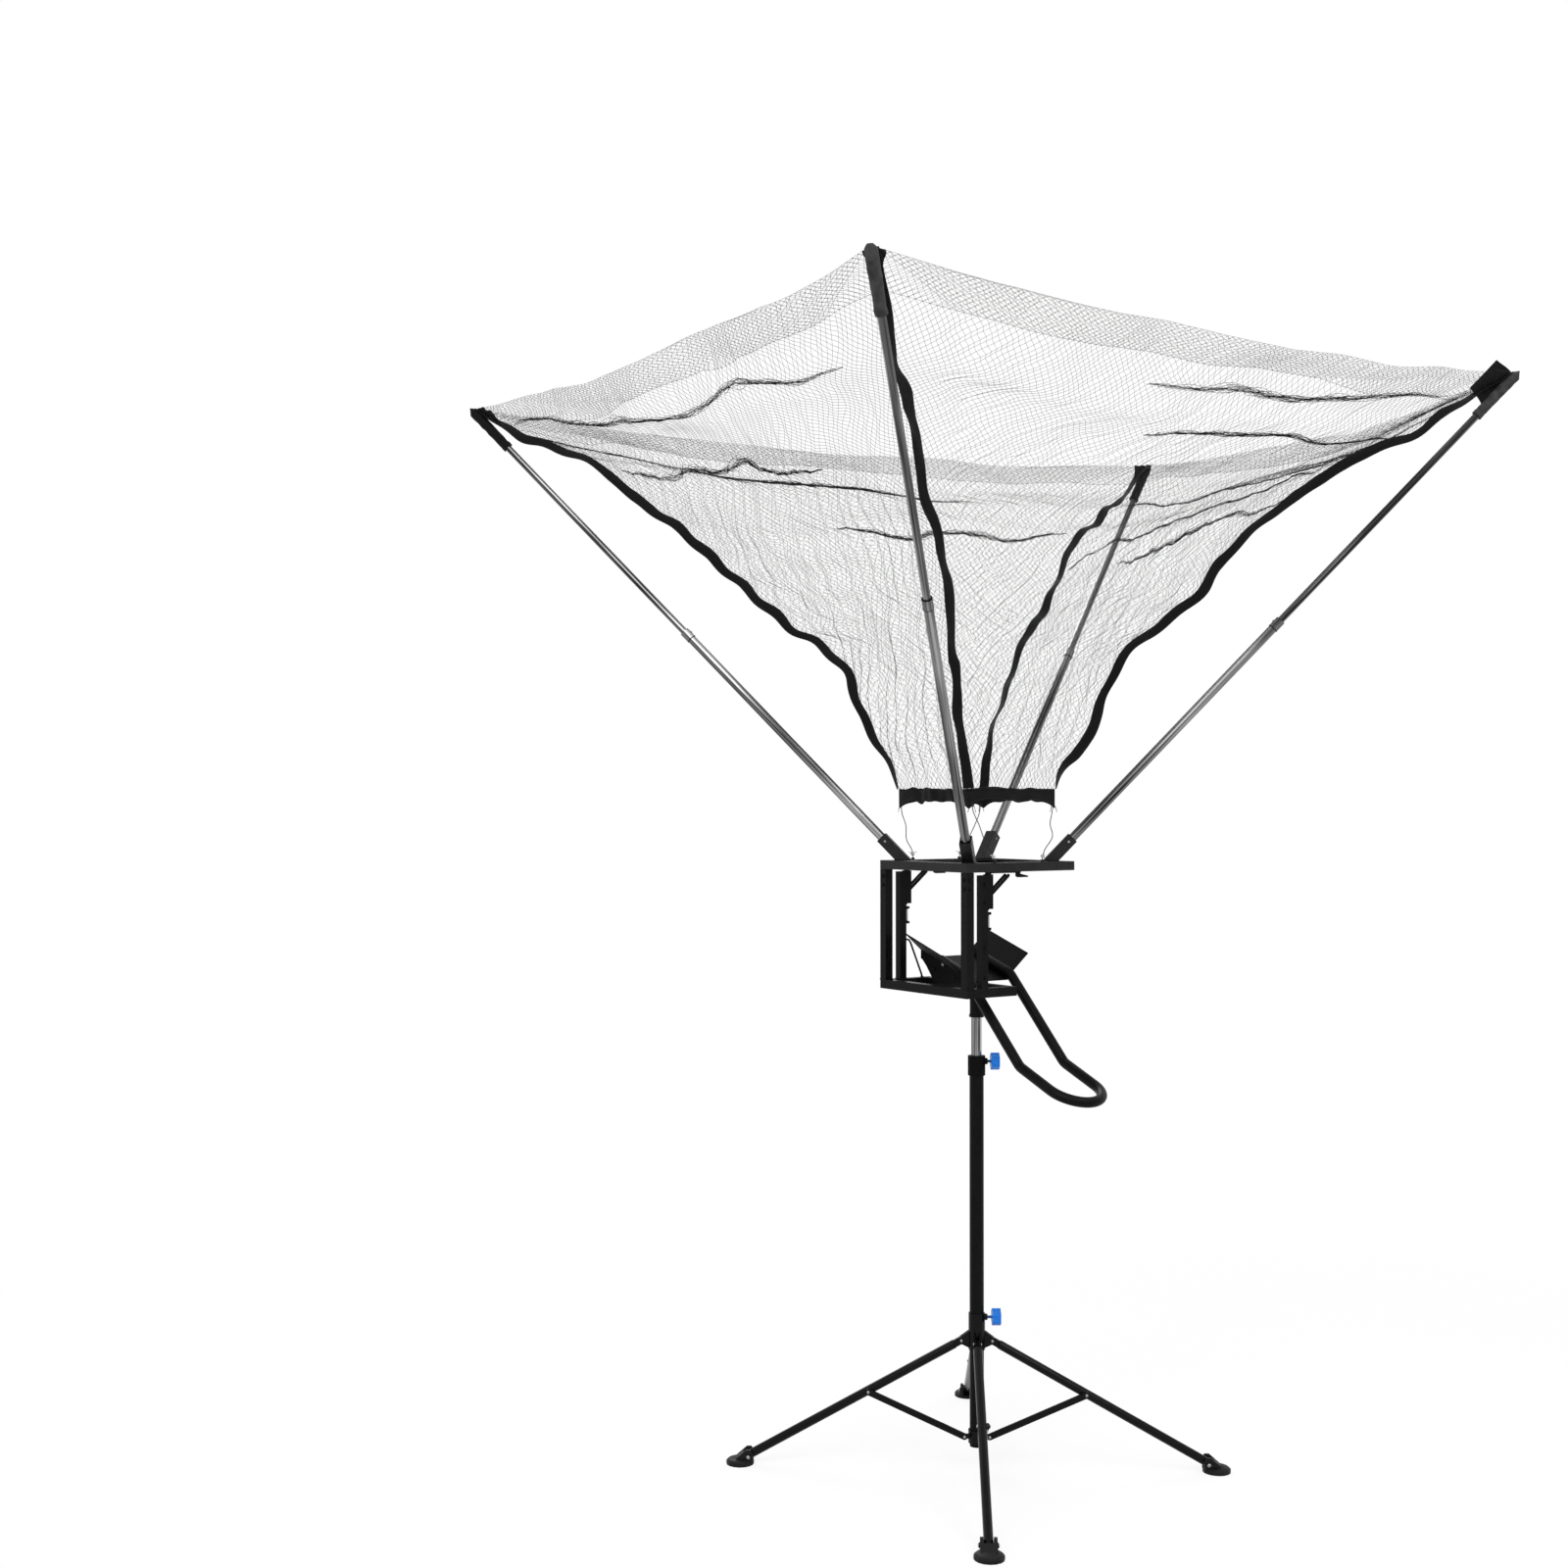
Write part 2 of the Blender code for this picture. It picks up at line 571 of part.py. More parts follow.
def build_foot(name, azimuth, plastic):
    """A round pad with two cheeks that hold the leg's end on a bolt."""
    place = spin(azimuth) @ move(FOOT_PIVOT_REACH, 0, FOOT_PIVOT_HEIGHT)
    ground = -FOOT_PIVOT_HEIGHT
    profile = [(0, ground), (PAD_RADIUS, ground), (PAD_RADIUS, ground + PAD_RIM_HEIGHT),
               (PAD_RADIUS - PAD_SHOULDER_INSET, ground + PAD_SHOULDER_HEIGHT),
               (PAD_CROWN_RADIUS, ground + PAD_CROWN_HEIGHT), (0, ground + PAD_CROWN_HEIGHT)]
    pad = turned(lathe(profile, ROUND_SIDES), move(PAD_OFFSET, 0, 0))
    foot = add(f"foot_{name}", pad, plastic, place)
    slot = LEG_RADIUS + SHOE_SLOT_CLEARANCE
    cheek = slot + SHOE_CHEEK
    outline = [(-SHOE_BACK, ground + PAD_RIM_HEIGHT / 2), (SHOE_FRONT, ground + PAD_RIM_HEIGHT / 2),
               (SHOE_FRONT, ground + PAD_CROWN_HEIGHT - WELD), (SHOE_TOP_REACH, SHOE_TOP), (-SHOE_BACK / 2, SHOE_TOP),
               (-SHOE_BACK, SHOE_TOP / 2)]
    join(foot, slab(outline, -cheek, cheek, "XZ"))
    wall = hypot(LEG_TAIL, LEG_RADIUS) + SHOE_WALL_CLEARANCE
    floor = ground + SHOE_FLOOR
    cut(foot, box((-PAD_RADIUS, -slot, floor), (wall, slot, SHOE_TOP + OVERRUN)))
    bolt = headed_pin(PIN_RADIUS, BOLT_HEAD_RADIUS, BOLT_HEAD_THICKNESS, cheek - SINK)
    join(foot, turned(bolt, ALONG_Y))


# Head socket, frames, posts and latch pins
def build_head(black, chrome):
    inner = MAST_RADIUS + GAP
    outer = inner + SOCKET_WALL - GAP
    lip = outer + SOCKET_LIP
    lip_top = SOCKET_FOOT + SOCKET_LIP_HEIGHT
    bore_top = SOCKET_TOP - SOCKET_CAP
    add("head_socket", lathe([(0, SOCKET_TOP), (outer, SOCKET_TOP), (outer, lip_top), (lip, lip_top),
                              (lip, SOCKET_FOOT), (inner, SOCKET_FOOT), (inner, bore_top), (0, bore_top)]), black)

    frame = add_hollow_ring("lower_frame", -FRAME_HALF, FRONT_BAR_FACE, LOWER_FRAME_FOOT, black)
    plate = box((-BASE_PLATE_BACK, -BASE_PLATE_HALF_WIDTH, BASE_PLATE_FOOT),
                (BASE_PLATE_FRONT, BASE_PLATE_HALF_WIDTH, LOWER_FRAME_FOOT + BAR_WALL / 2))
    join(frame, plate)

    low = LOWER_FRAME_TOP + GAP
    high = TOP_FRAME_FOOT - GAP
    for end, side in (("front", -1), ("back", 1)):
        y = side * BAR_CENTRE
        add(f"outer_post_{end}", square_tube(BAR, -BAR_CENTRE, y, low, high), black)
        top = TOP_FRAME_FOOT - INNER_POST_HEADROOM
        add(f"inner_post_{end}", square_tube(INNER_POST, INNER_POST_X, y, low, top), black)
        foot = LOWER_FRAME_TOP + LATCH_FOOT
        x = INNER_POST_FACE + GAP + LATCH_RADIUS
        add(f"latch_pin_{end}", turned(rod(LATCH_RADIUS, foot, foot + LATCH_LENGTH), move(x, y, 0)), chrome)


def square_tube(size, x, y, low, high):
    half = size / 2
    bore = half - BAR_WALL
    return pipe(rectangle(x - half, x + half, y - half, y + half), rectangle(x - bore, x + bore, y - bore, y + bore),
                low, high)


def add_hollow_ring(name, x0, x1, foot, surface):
    """A rectangular frame of hollow bars, with a drain hole under each side bar."""
    half = FRAME_HALF
    ring = pipe(rectangle(x0, x1, -half, half), rectangle(x0 + BAR, x1 - BAR, BAR - half, half - BAR), foot, foot + BAR)
    frame = add(name, ring, surface)
    skin = BAR_WALL
    deep = BAR - BAR_WALL
    hollow = pipe(rectangle(x0 + skin, x1 - skin, skin - half, half - skin),
                  rectangle(x0 + deep, x1 - deep, deep - half, half - deep), foot + skin, foot + deep)
    cut(frame, hollow)
    middle = (x0 + x1) / 2
    drains = [turned(rod(DRAIN_RADIUS, foot - OVERRUN, foot + BAR / 2), move(middle, side * BAR_CENTRE, 0))
              for side in (-1, 1)]
    cut(frame, gathered(*drains))
    return frame


# Folding brackets
def build_bracket(end, side, black):
    y = side * BAR_CENTRE
    hinge = move(HINGE_X, y, HINGE_HEIGHT)
    half = ARM_HALF_WIDTH
    web_start = INNER_POST_FACE + GAP - HINGE_X
    arm_top = HINGE_DROP - ARM_HEADROOM + GAP
    arm_foot = -ARM_LENGTH
    arm = add(f"bracket_arm_{end}", box((web_start, -half, arm_foot),
                                        (web_start + ARM_WEB, half, -KNUCKLE_RADIUS - LEAF_THICKNESS)), black, hinge)
    for face in (-1, 1):
        faces = sorted((face * half, face * (half - ARM_FLANGE)))
        join(arm, box((web_start + WELD / 2, faces[0], arm_foot + ARM_WEB),
                      (web_start + ARM_DEPTH, faces[1], arm_top)))
    pin_end = half - ARM_FLANGE / 2
    join(arm, turned(rod(BRACKET_PIN_RADIUS, -pin_end, pin_end), ALONG_Y))
    strut_place = move(STRUT_PIVOT_X - HINGE_X, 0, STRUT_PIVOT_HEIGHT - HINGE_HEIGHT)
    join(arm, turned(rod(BRACKET_PIN_RADIUS, -pin_end, pin_end), ALONG_Y), strut_place)

    build_leaf(end, hinge, black)
    build_strut(end, y, black)
    build_lever(end, y, black)


def build_leaf(end, hinge, black):
    """The plate under the side bar, with a knuckle round the hinge pin and ears for the lever."""
    width = STRUT_HALF_WIDTH
    top = HINGE_DROP - GAP
    low = top - LEAF_THICKNESS
    leaf = add(f"bracket_leaf_{end}", box((-LEAF_BACK, -width, low), (LEAF_LENGTH - LEAF_BACK, width, top)),
               black, hinge)
    join(leaf, turned(rod(KNUCKLE_RADIUS, -width, width, ROUND_SIDES), ALONG_Y))
    join(leaf, box((-LEAF_BACK, -width, 0), (LEAF_BACK, width, low + WELD)))
    cut(leaf, turned(rod(BRACKET_PIN_RADIUS + GAP, -2 * width, 2 * width), ALONG_Y))
    inside = LEVER_HALF_WIDTH + GAP
    for face in (-1, 1):
        faces = sorted((face * inside, face * (inside + LEVER_EAR)))
        join(leaf, box((LEVER_PIVOT - LEVER_DEPTH, faces[0], -LEVER_DEPTH),
                       (LEVER_PIVOT + LEVER_DEPTH, faces[1], low + WELD)))
    pin_end = inside + LEVER_EAR / 2
    join(leaf, turned(rod(LEVER_PIN_RADIUS, -pin_end, pin_end), ALONG_Y), move(LEVER_PIVOT, 0, 0))


def build_strut(end, y, black):
    """Two side plates on a tube round the arm's pin, joined by a cross pin under the leaf."""
    place = move(STRUT_PIVOT_X, y, STRUT_PIVOT_HEIGHT) @ tilt(-atan2(STRUT_RISE, STRUT_REACH))
    length = hypot(STRUT_REACH, STRUT_RISE)
    width = STRUT_HALF_WIDTH
    strut = add(f"bracket_strut_{end}", turned(rod(STRUT_DEPTH, -width, width, ROUND_SIDES), ALONG_Y), black, place)
    outline = arc((0, 0), STRUT_DEPTH - SINK, pi / 2, 3 * pi / 2, HALF_ROUND_STEPS)
    outline += arc((length, 0), STRUT_DEPTH - SINK, -pi / 2, pi / 2, HALF_ROUND_STEPS)
    for face in (-1, 1):
        faces = sorted((face * (width - SINK), face * (width - STRUT_PLATE)))
        join(strut, slab(outline, faces[0], faces[1], "XZ"))
    pin_end = width - STRUT_PLATE / 2
    join(strut, turned(rod(BRACKET_PIN_RADIUS, -pin_end, pin_end), ALONG_Y), move(length, 0, 0))
    cut(strut, turned(rod(BRACKET_PIN_RADIUS + GAP, -2 * width, 2 * width), ALONG_Y))


def build_lever(end, y, black):
    """A short finger lever that hangs between the leaf's ears."""
    place = move(HINGE_X + LEVER_PIVOT, y, HINGE_HEIGHT)
    half = LEVER_HALF_WIDTH
    depth = LEVER_DEPTH
    grip = depth * LEVER_GRIP_SHARE
    outline = [(-depth, -depth), (0, -grip), (LEVER_LENGTH, -grip), (LEVER_LENGTH, -depth / 2),
               (grip, depth), (-depth, depth)]
    lever = add(f"release_lever_{end}", slab(outline, -half, half, "XZ"), black, place)
    cut(lever, turned(rod(LEVER_PIN_RADIUS + GAP, -2 * half, 2 * half), ALONG_Y))


# Top frame, poles and net
def tip_point(corner):
    _, side_x, side_y, share_x, share_y, rise_share = corner
    return Vector((side_x * TIP_REACH_X * share_x, side_y * TIP_REACH_Y * share_y,
                   TOP_FRAME_TOP + POLE_RISE * rise_share))


def base_point(corner):
    return Vector((corner[1] * SOCKET_CORNER, corner[2] * SOCKET_CORNER, TOP_FRAME_TOP))


def pole_place(corner):
    """The pole's frame: Z along it from the top frame, and X in its upright plane."""
    base = base_point(corner)
    along = (tip_point(corner) - base).normalized()
    across = Vector((along.y, -along.x, 0)).normalized()
    inward = across.cross(along)
    frame = Matrix((inward, across, along)).transposed().to_4x4()
    frame.translation = base
    return frame


def pole_length(corner):
    return (tip_point(corner) - base_point(corner)).length


def build_top_frame(black):
    frame = add_hollow_ring("top_frame", -FRAME_HALF, FRAME_HALF, TOP_FRAME_FOOT, black)
    inner = FRAME_HALF - BAR
    reach = inner + 2 * WELD
    floor = TOP_FRAME_TOP - GUSSET_THICKNESS
    for corner in CORNERS:
        _, side_x, side_y = corner[:3]
        flip = Matrix.Diagonal((side_x, side_y, 1, 1))
        outline = [(reach, reach), (GUSSET_EDGE - inner, reach), (GUSSET_EDGE - inner, inner),
                   (inner, GUSSET_EDGE - inner), (reach, GUSSET_EDGE - inner)]
        join(frame, turned(slab(outline, floor, TOP_FRAME_TOP - GUSSET_THICKNESS / 4), flip))
        half = POLE_SOCKET_SIZE / 2
        socket = turned(box((-half, -half, -half), (half, half, POLE_SOCKET_LENGTH)), pole_place(corner))
        bmesh.ops.recalc_face_normals(socket, faces=socket.faces[:])
        sliced = bmesh.ops.bisect_plane(socket, geom=socket.verts[:] + socket.edges[:] + socket.faces[:],
                                        plane_co=(0, 0, floor + GUSSET_THICKNESS / 2), plane_no=(0, 0, -1),
                                        clear_outer=True)
        rim = [part for part in sliced["geom_cut"] if isinstance(part, bmesh.types.BMEdge)]
        bmesh.ops.contextual_create(socket, geom=rim)
        join(frame, socket)
        bore = LOWER_POLE_RADIUS + POLE_SOCKET_CLEARANCE
        cut(frame, turned(box((-bore, -bore, POLE_SOCKET_FLOOR), (bore, bore, POLE_SOCKET_LENGTH + OVERRUN)),
                          pole_place(corner)))
        eye = rod(EYE_RADIUS, TOP_FRAME_TOP - WELD / 2, TOP_FRAME_TOP + EYE_HEIGHT)
        join(frame, turned(eye, move(side_x * EYE_INSET, side_y * BAR_CENTRE, 0)))


def build_pole(corner, aluminium):
    place = pole_place(corner)
    length = pole_length(corner)
    middle = length * POLE_JOINT_SHARE
    collar_start = middle - POLE_COLLAR_LENGTH
    wide = LOWER_POLE_RADIUS - LOWER_POLE_WALL
    narrow = UPPER_POLE_RADIUS + GAP
    foot = POLE_SOCKET_FLOOR + GAP
    add(f"lower_pole_{corner[0]}", lathe([(wide, foot), (LOWER_POLE_RADIUS, foot), (LOWER_POLE_RADIUS, collar_start),
                                          (POLE_COLLAR_RADIUS, collar_start), (POLE_COLLAR_RADIUS, middle),
                                          (narrow, middle), (narrow, collar_start), (wide, collar_start)]),
        aluminium, place)
    add(f"upper_pole_{corner[0]}", tube(UPPER_POLE_RADIUS, UPPER_POLE_WALL, middle - POLE_OVERLAP, length),
        aluminium, place)


def smooth_through(knots, count):
    """Evenly spread points on a smooth curve through the knots."""
    dense = []
    ends = [knots[0] * 2 - knots[1]] + knots + [knots[-1] * 2 - knots[-2]]
    for before, start, end, after in zip(ends, ends[1:], ends[2:], ends[3:]):
        for k in range(CURVE_STEPS):
            t = k / CURVE_STEPS
            dense.append(0.5 * (2 * start + (end - before) * t + (2 * before - 5 * start + 4 * end - after) * t ** 2
                                + (3 * start - before - 3 * end + after) * t ** 3))
    dense.append(knots[-1])
    runs = [0.0]
    for start, end in zip(dense, dense[1:]):
        runs.append(runs[-1] + (end - start).length)
    points = []
    k = 0
    for n in range(count + 1):
        goal = runs[-1] * n / count
        while k < len(dense) - 2 and runs[k + 1] < goal:
            k += 1
        points.append(dense[k].lerp(dense[k + 1], (goal - runs[k]) / (runs[k + 1] - runs[k])))
    return points


def seam_path(corner):
    """The corner seam from the pole's tip to the hem, in the upright plane of both, and that plane's normal."""
    frame = pole_place(corner)
    inward = frame.col[0].xyz
    outer = UPPER_POLE_RADIUS + GAP + POCKET_WALL
    top = tip_point(corner) + inward * outer
    foot = Vector((corner[1] * HEM_HALF, corner[2] * HEM_HALF, HEM_TOP + 2 * GAP))
    flat = Vector((top.x - foot.x, top.y - foot.y, 0))
    rise = Vector((0, 0, top.z - foot.z))
    knots = [top]
    knots += [foot + flat * reach_share + rise * rise_share for reach_share, rise_share in SEAM_SHARES]
    knots += [foot + Vector((0, 0, WEBBING_WIDTH)), foot]
    normal = Vector((-flat.y, flat.x, 0)).normalized()
    return smooth_through(knots, SEAM_STEPS), normal


def build_webbing(corner, black):
    """A pocket over the pole's tip, with the webbing that runs from it to the hem."""
    place = pole_place(corner)
    length = pole_length(corner)
    bore = UPPER_POLE_RADIUS + GAP
    outer = bore + POCKET_WALL
    foot = length - POCKET_LENGTH
    pocket = lathe([(0, length + POCKET_CAP), (outer, length + POCKET_CAP), (outer, foot), (bore, foot),
                    (bore, length + GAP), (0, length + GAP)])
    webbing = add(f"corner_webbing_{corner[0]}", pocket, black, place)
    points, normal = seam_path(corner)
    band = ribbon(points, normal, WEBBING_WIDTH / 2, WEBBING_THICKNESS / 2)
    join(webbing, turned(band, place.inverted()))


def ribbon(points, sideways, half_width, half_thickness):
    """A flat band along points in one plane, square to it in its width."""
    shape = bmesh.new()
    rings = []
    for k, point in enumerate(points):
        along = (points[min(k + 1, len(points) - 1)] - points[max(k - 1, 0)]).normalized()
        out = along.cross(sideways).normalized() * half_thickness
        wide = sideways * half_width
        rings.append([shape.verts.new(point + offset) for offset in (wide + out, out - wide, -wide - out, wide - out)])
    for ring, after in zip(rings, rings[1:]):
        for k in range(4):
            m = (k + 1) % 4
            shape.faces.new((ring[k], ring[m], after[m], after[k]))
    shape.faces.new(rings[0])
    shape.faces.new(rings[-1])
    return shape


def build_net(name, first, second, mesh_black):
    """A panel of diamond mesh between two corner seams, with a sagging top edge."""
    edges = []
    for corner, other in ((first, second), (second, first)):
        points, normal = seam_path(corner)
        toward = tip_point(other) - tip_point(corner)
        if normal.dot(toward) < 0:
            normal = -normal
        shift = normal * (WEBBING_WIDTH / 2 + NET_STRAND / 2 + NET_CLEARANCE)
        lift = Vector((0, 0, NET_STRAND / 2 + NET_CLEARANCE))
        path = [point + shift for point in points]
        path[-1] = path[-1] + lift
        edges.append(smooth_through(path, NET_ROWS))
    shape = bmesh.new()
    spots = {}
    for row in range(NET_ROWS + 1):
        for column in range(NET_COLUMNS + 1):
            if (row + column) % 2:
                continue
            share = column / NET_COLUMNS
            point = edges[0][row].lerp(edges[1][row], share)
            height_share = 1 - row / NET_ROWS
            point.z -= NET_SAG * 4 * share * (1 - share) * height_share ** 2
            spots[row, column] = shape.verts.new(point)
    for row in range(NET_ROWS + 1):
        for column in range(NET_COLUMNS + 1):
            ring = [(row - 1, column), (row, column + 1), (row + 1, column), (row, column - 1)]
            corners = [spots[spot] for spot in ring if spot in spots]
            if (row + column) % 2 and len(corners) > 2:
                shape.faces.new(corners)
    net = add(f"net_panel_{name}", shape, mesh_black)
    strands = net.modifiers.new("strands", "WIREFRAME")
    strands.thickness = NET_STRAND
    strands.use_boundary = True
    strands.use_even_offset = False
    strands.use_replace = True


def build_hem(black):
    outer = HEM_HALF + WEBBING_THICKNESS / 2
    inner = HEM_HALF - WEBBING_THICKNESS / 2
    add("bottom_hem", pipe(rectangle(-outer, outer, -outer, outer), rectangle(-inner, inner, -inner, inner),
                           HEM_FOOT, HEM_TOP), black)


# Ties, as routes of their own: (name, points down from the hem to the frame's eye)
TIE_ROUTES = (
    ("front_left", ((-0.145, -0.157, 1.8620), (-0.143, -0.160, 1.835), (-0.128, -0.166, 1.800),
                    (-0.118, -0.176, 1.760), (-0.096, -0.178, 1.727), (-0.085, -0.180, 1.7036))),
    ("back_left", ((-0.145, 0.157, 1.8620), (-0.140, 0.160, 1.830), (-0.126, 0.160, 1.795),
                   (-0.116, 0.170, 1.755), (-0.092, 0.176, 1.725), (-0.085, 0.180, 1.7036))),
    ("front_right", ((0.145, -0.157, 1.8620), (0.147, -0.152, 1.835), (0.134, -0.158, 1.800),
                     (0.130, -0.172, 1.765), (0.100, -0.174, 1.730), (0.085, -0.180, 1.7036))),
    ("back_right", ((0.145, 0.157, 1.8620), (0.138, 0.152, 1.832), (0.132, 0.164, 1.798),
                    (0.112, 0.168, 1.760), (0.094, 0.178, 1.726), (0.085, 0.180, 1.7036))),
)


def build_tie(name, route, cord_black):
    knots = [Vector(point) for point in route]
    length = sum((end - start).length for start, end in zip(knots, knots[1:]))
    points = smooth_through(knots, int(length / CORD_STEP))
    curve = bpy.data.curves.new(f"tie_cord_{name}", "CURVE")
    curve.dimensions = "3D"
    curve.bevel_depth = CORD_RADIUS
    curve.bevel_resolution = 2
    curve.use_fill_caps = True
    curve.materials.append(cord_black)
    line = curve.splines.new("POLY")
    line.points.add(len(points) - 1)
    for spot, point in zip(line.points, points):
        spot.co = (*point, 1)
    cord = bpy.data.objects.new(f"tie_cord_{name}", curve)
    bpy.context.scene.collection.objects.link(cord)


# Chute
def chute_rim(y):
    """Height of the trough's wall tops at a place along Y."""
    return CHUTE_FRONT_HEIGHT + CHUTE_SLOPE * (y - CHUTE_FRONT)


def build_trough(black):
    """A bent sheet with flared wings, its side gussets, and pads on the lower frame's front bar."""
    wing = Vector((WING_REACH, WING_RISE)).normalized()
    under = Vector((wing.y, -wing.x)) * CHUTE_SHEET
    outside = CHUTE_INNER + CHUTE_SHEET
    crease = under.y + (outside - CHUTE_INNER - under.x) * wing.y / wing.x
    tip_x = CHUTE_INNER + WING_REACH
    half = [(CHUTE_INNER, -CHUTE_DEPTH), (CHUTE_INNER, 0), (tip_x, WING_RISE), (tip_x + under.x, WING_RISE + under.y),
            (outside, crease), (outside, -CHUTE_DEPTH - CHUTE_SHEET)]
    outline = half + [(-x, h) for x, h in reversed(half)]
    shape = bmesh.new()
    ends = [[shape.verts.new((x, y, chute_rim(y) + h)) for x, h in outline] for y in (CHUTE_BACK, CHUTE_FRONT)]
    shape.faces.new(ends[0])
    shape.faces.new(ends[1])
    count = len(outline)
    for k in range(count):
        m = (k + 1) % count
        shape.faces.new((ends[0][k], ends[0][m], ends[1][m], ends[1][k]))
    trough = add("chute_trough", shape, black)

    seat = LOWER_FRAME_TOP + GUSSET_SEAT
    sink = CHUTE_DEPTH / 2
    start = CHUTE_FRONT + SINK
    side = [(start, seat), (GUSSET_BACK, seat), (GUSSET_KNEE, (seat + chute_rim(GUSSET_KNEE)) / 2),
            (CHUTE_BACK - SINK, chute_rim(CHUTE_BACK) - CHUTE_DEPTH),
            (CHUTE_BACK - SINK, chute_rim(CHUTE_BACK) - sink), (start, chute_rim(CHUTE_FRONT) - sink)]
    for flank in (-1, 1):
        faces = sorted((flank * (CHUTE_INNER + SINK), flank * (outside - SINK)))
        join(trough, slab(side, faces[0], faces[1], "YZ"))
    bar_x = FRONT_BAR_FACE - BAR / 2
    for y in CHUTE_PADS:
        floor = chute_rim(y) - CHUTE_DEPTH - CHUTE_SHEET / 2
        pad = box((bar_x - CHUTE_PAD / 2, y - CHUTE_PAD / 2, LOWER_FRAME_TOP + GAP),
                  (bar_x + CHUTE_PAD / 2, y + CHUTE_PAD / 2, floor))
        join(trough, pad)


def filleted(points, radius):
    """Rounds the inner corners of a path with arcs."""
    path = [points[0]]
    for before, corner, after in zip(points, points[1:], points[2:]):
        back = (before - corner).normalized()
        ahead = (after - corner).normalized()
        turn = pi - back.angle(ahead)
        cut_back = radius * tan(turn / 2)
        middle = (back + ahead).normalized()
        centre = corner + middle * (radius / cos(turn / 2))
        start = corner + back * cut_back - centre
        end = corner + ahead * cut_back - centre
        for k in range(BEND_STEPS + 1):
            path.append(centre + start.slerp(end, k / BEND_STEPS).normalized() * radius)
    path.append(points[-1])
    return path


def swept_tube(points, radius, wall, sides):
    """A tube of even wall along a path, open at both ends."""
    shape = bmesh.new()
    side = None
    rings = []
    for k, point in enumerate(points):
        along = (points[min(k + 1, len(points) - 1)] - points[max(k - 1, 0)]).normalized()
        side = (Vector((1, 0, 0)) if side is None else side)
        side = (side - along * side.dot(along)).normalized()
        up = along.cross(side)
        spokes = [side * cos(2 * pi * n / sides) + up * sin(2 * pi * n / sides) for n in range(sides)]
        rings.append([[shape.verts.new(point + spoke * r) for spoke in spokes] for r in (radius, radius - wall)])
    for n in range(sides):
        m = (n + 1) % sides
        for ring, after in zip(rings, rings[1:]):
            for skin in (0, 1):
                shape.faces.new((ring[skin][n], ring[skin][m], after[skin][m], after[skin][n]))
        for ring in (rings[0], rings[-1]):
            shape.faces.new((ring[0][n], ring[0][m], ring[1][m], ring[1][n]))
    return shape


def build_rail(black):
    """One bent tube: down from each trough wall, along, and round its U end."""
    lift = CHUTE_FRONT_HEIGHT
    knee = chute_rim(RAIL_KNEE) + RAIL_LIFT
    start = chute_rim(RAIL_START) + RAIL_LIFT
    half = [Vector((RAIL_OFFSET, RAIL_START, start)), Vector((RAIL_OFFSET, RAIL_KNEE, knee)),
            Vector((RAIL_OFFSET, RAIL_LOW[0], lift + RAIL_LOW[1])), Vector((RAIL_OFFSET, RAIL_END[0], lift + RAIL_END[1]))]
    right = filleted(half, RAIL_BEND)
    ahead = (half[3] - half[2]).normalized()
    across = Vector((1, 0, 0))
    centre = Vector((0, half[3].y, half[3].z))
    bend = [centre + across * (RAIL_OFFSET * cos(t)) + ahead * (RAIL_OFFSET * sin(t))
            for t in (pi * k / RAIL_ARC_STEPS for k in range(1, RAIL_ARC_STEPS))]
    left = [Vector((-point.x, point.y, point.z)) for point in reversed(right)]
    add("chute_rail", swept_tube(right + bend + left, RAIL_RADIUS, RAIL_WALL, RAIL_SIDES), black)


def main():
    for old in list(bpy.data.objects):
        bpy.data.objects.remove(old)
    black = finish("black_powder_coat", (0.025, 0.025, 0.027), 0.45, 0.3)
    chrome = finish("chrome", (0.60, 0.60, 0.62), 0.18, 1.0)
    aluminium = finish("aluminium", (0.52, 0.52, 0.53), 0.35, 0.9)
    blue = finish("blue_plastic", (0.02, 0.18, 0.65), 0.40, 0.0)
    plastic = finish("black_plastic", (0.022, 0.022, 0.022), 0.55, 0.0)
    webbing = finish("black_webbing", (0.012, 0.012, 0.012), 0.85, 0.0)
    netting = finish("black_netting", (0.02, 0.02, 0.02), 0.80, 0.0)

    build_column(black, chrome)
    build_hub(black)
    add_knob("mast_knob", blue, LOWER_TUBE_TOP + MAST_KNOB_RISE, MAST_RADIUS, CLAMP_OUTER + MAST_KNOB_STEM_SHOW)
    add_knob("hub_knob", blue, HUB_PIVOT_HEIGHT + HUB_KNOB_RISE, LOWER_TUBE_RADIUS, HUB_OUTER + HUB_KNOB_STEM_SHOW)
    for name, azimuth, side in LEGS:
        build_leg(name, radians(azimuth), black)
        build_brace(name, radians(azimuth), side, black)
        build_foot(name, radians(azimuth), plastic)
    build_head(black, chrome)
    build_bracket("front", -1, black)
    build_bracket("back", 1, black)
    build_trough(black)
    build_rail(black)
    build_top_frame(black)
    front_left, back_left, front_right, back_right = CORNERS
    for corner in CORNERS:
        build_pole(corner, aluminium)
        build_webbing(corner, webbing)
    build_net("left", front_left, back_left, netting)
    build_net("back", back_left, back_right, netting)
    build_net("right", back_right, front_right, netting)
    build_net("front", front_right, front_left, netting)
    build_hem(webbing)
    for name, route in TIE_ROUTES:
        build_tie(name, route, netting)


main()
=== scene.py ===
"""Looks of the basketball return net: materials, hardware, net, webbing, hem, ties, light and camera.

Metres, +Z up, in the frame's own coordinates. The chute points to -Y and the posts are at -X.
"""
import json
from math import atan2, cos, pi, radians, sin, tan

import bmesh
import bpy
import numpy as np
from mathutils import Matrix, Vector

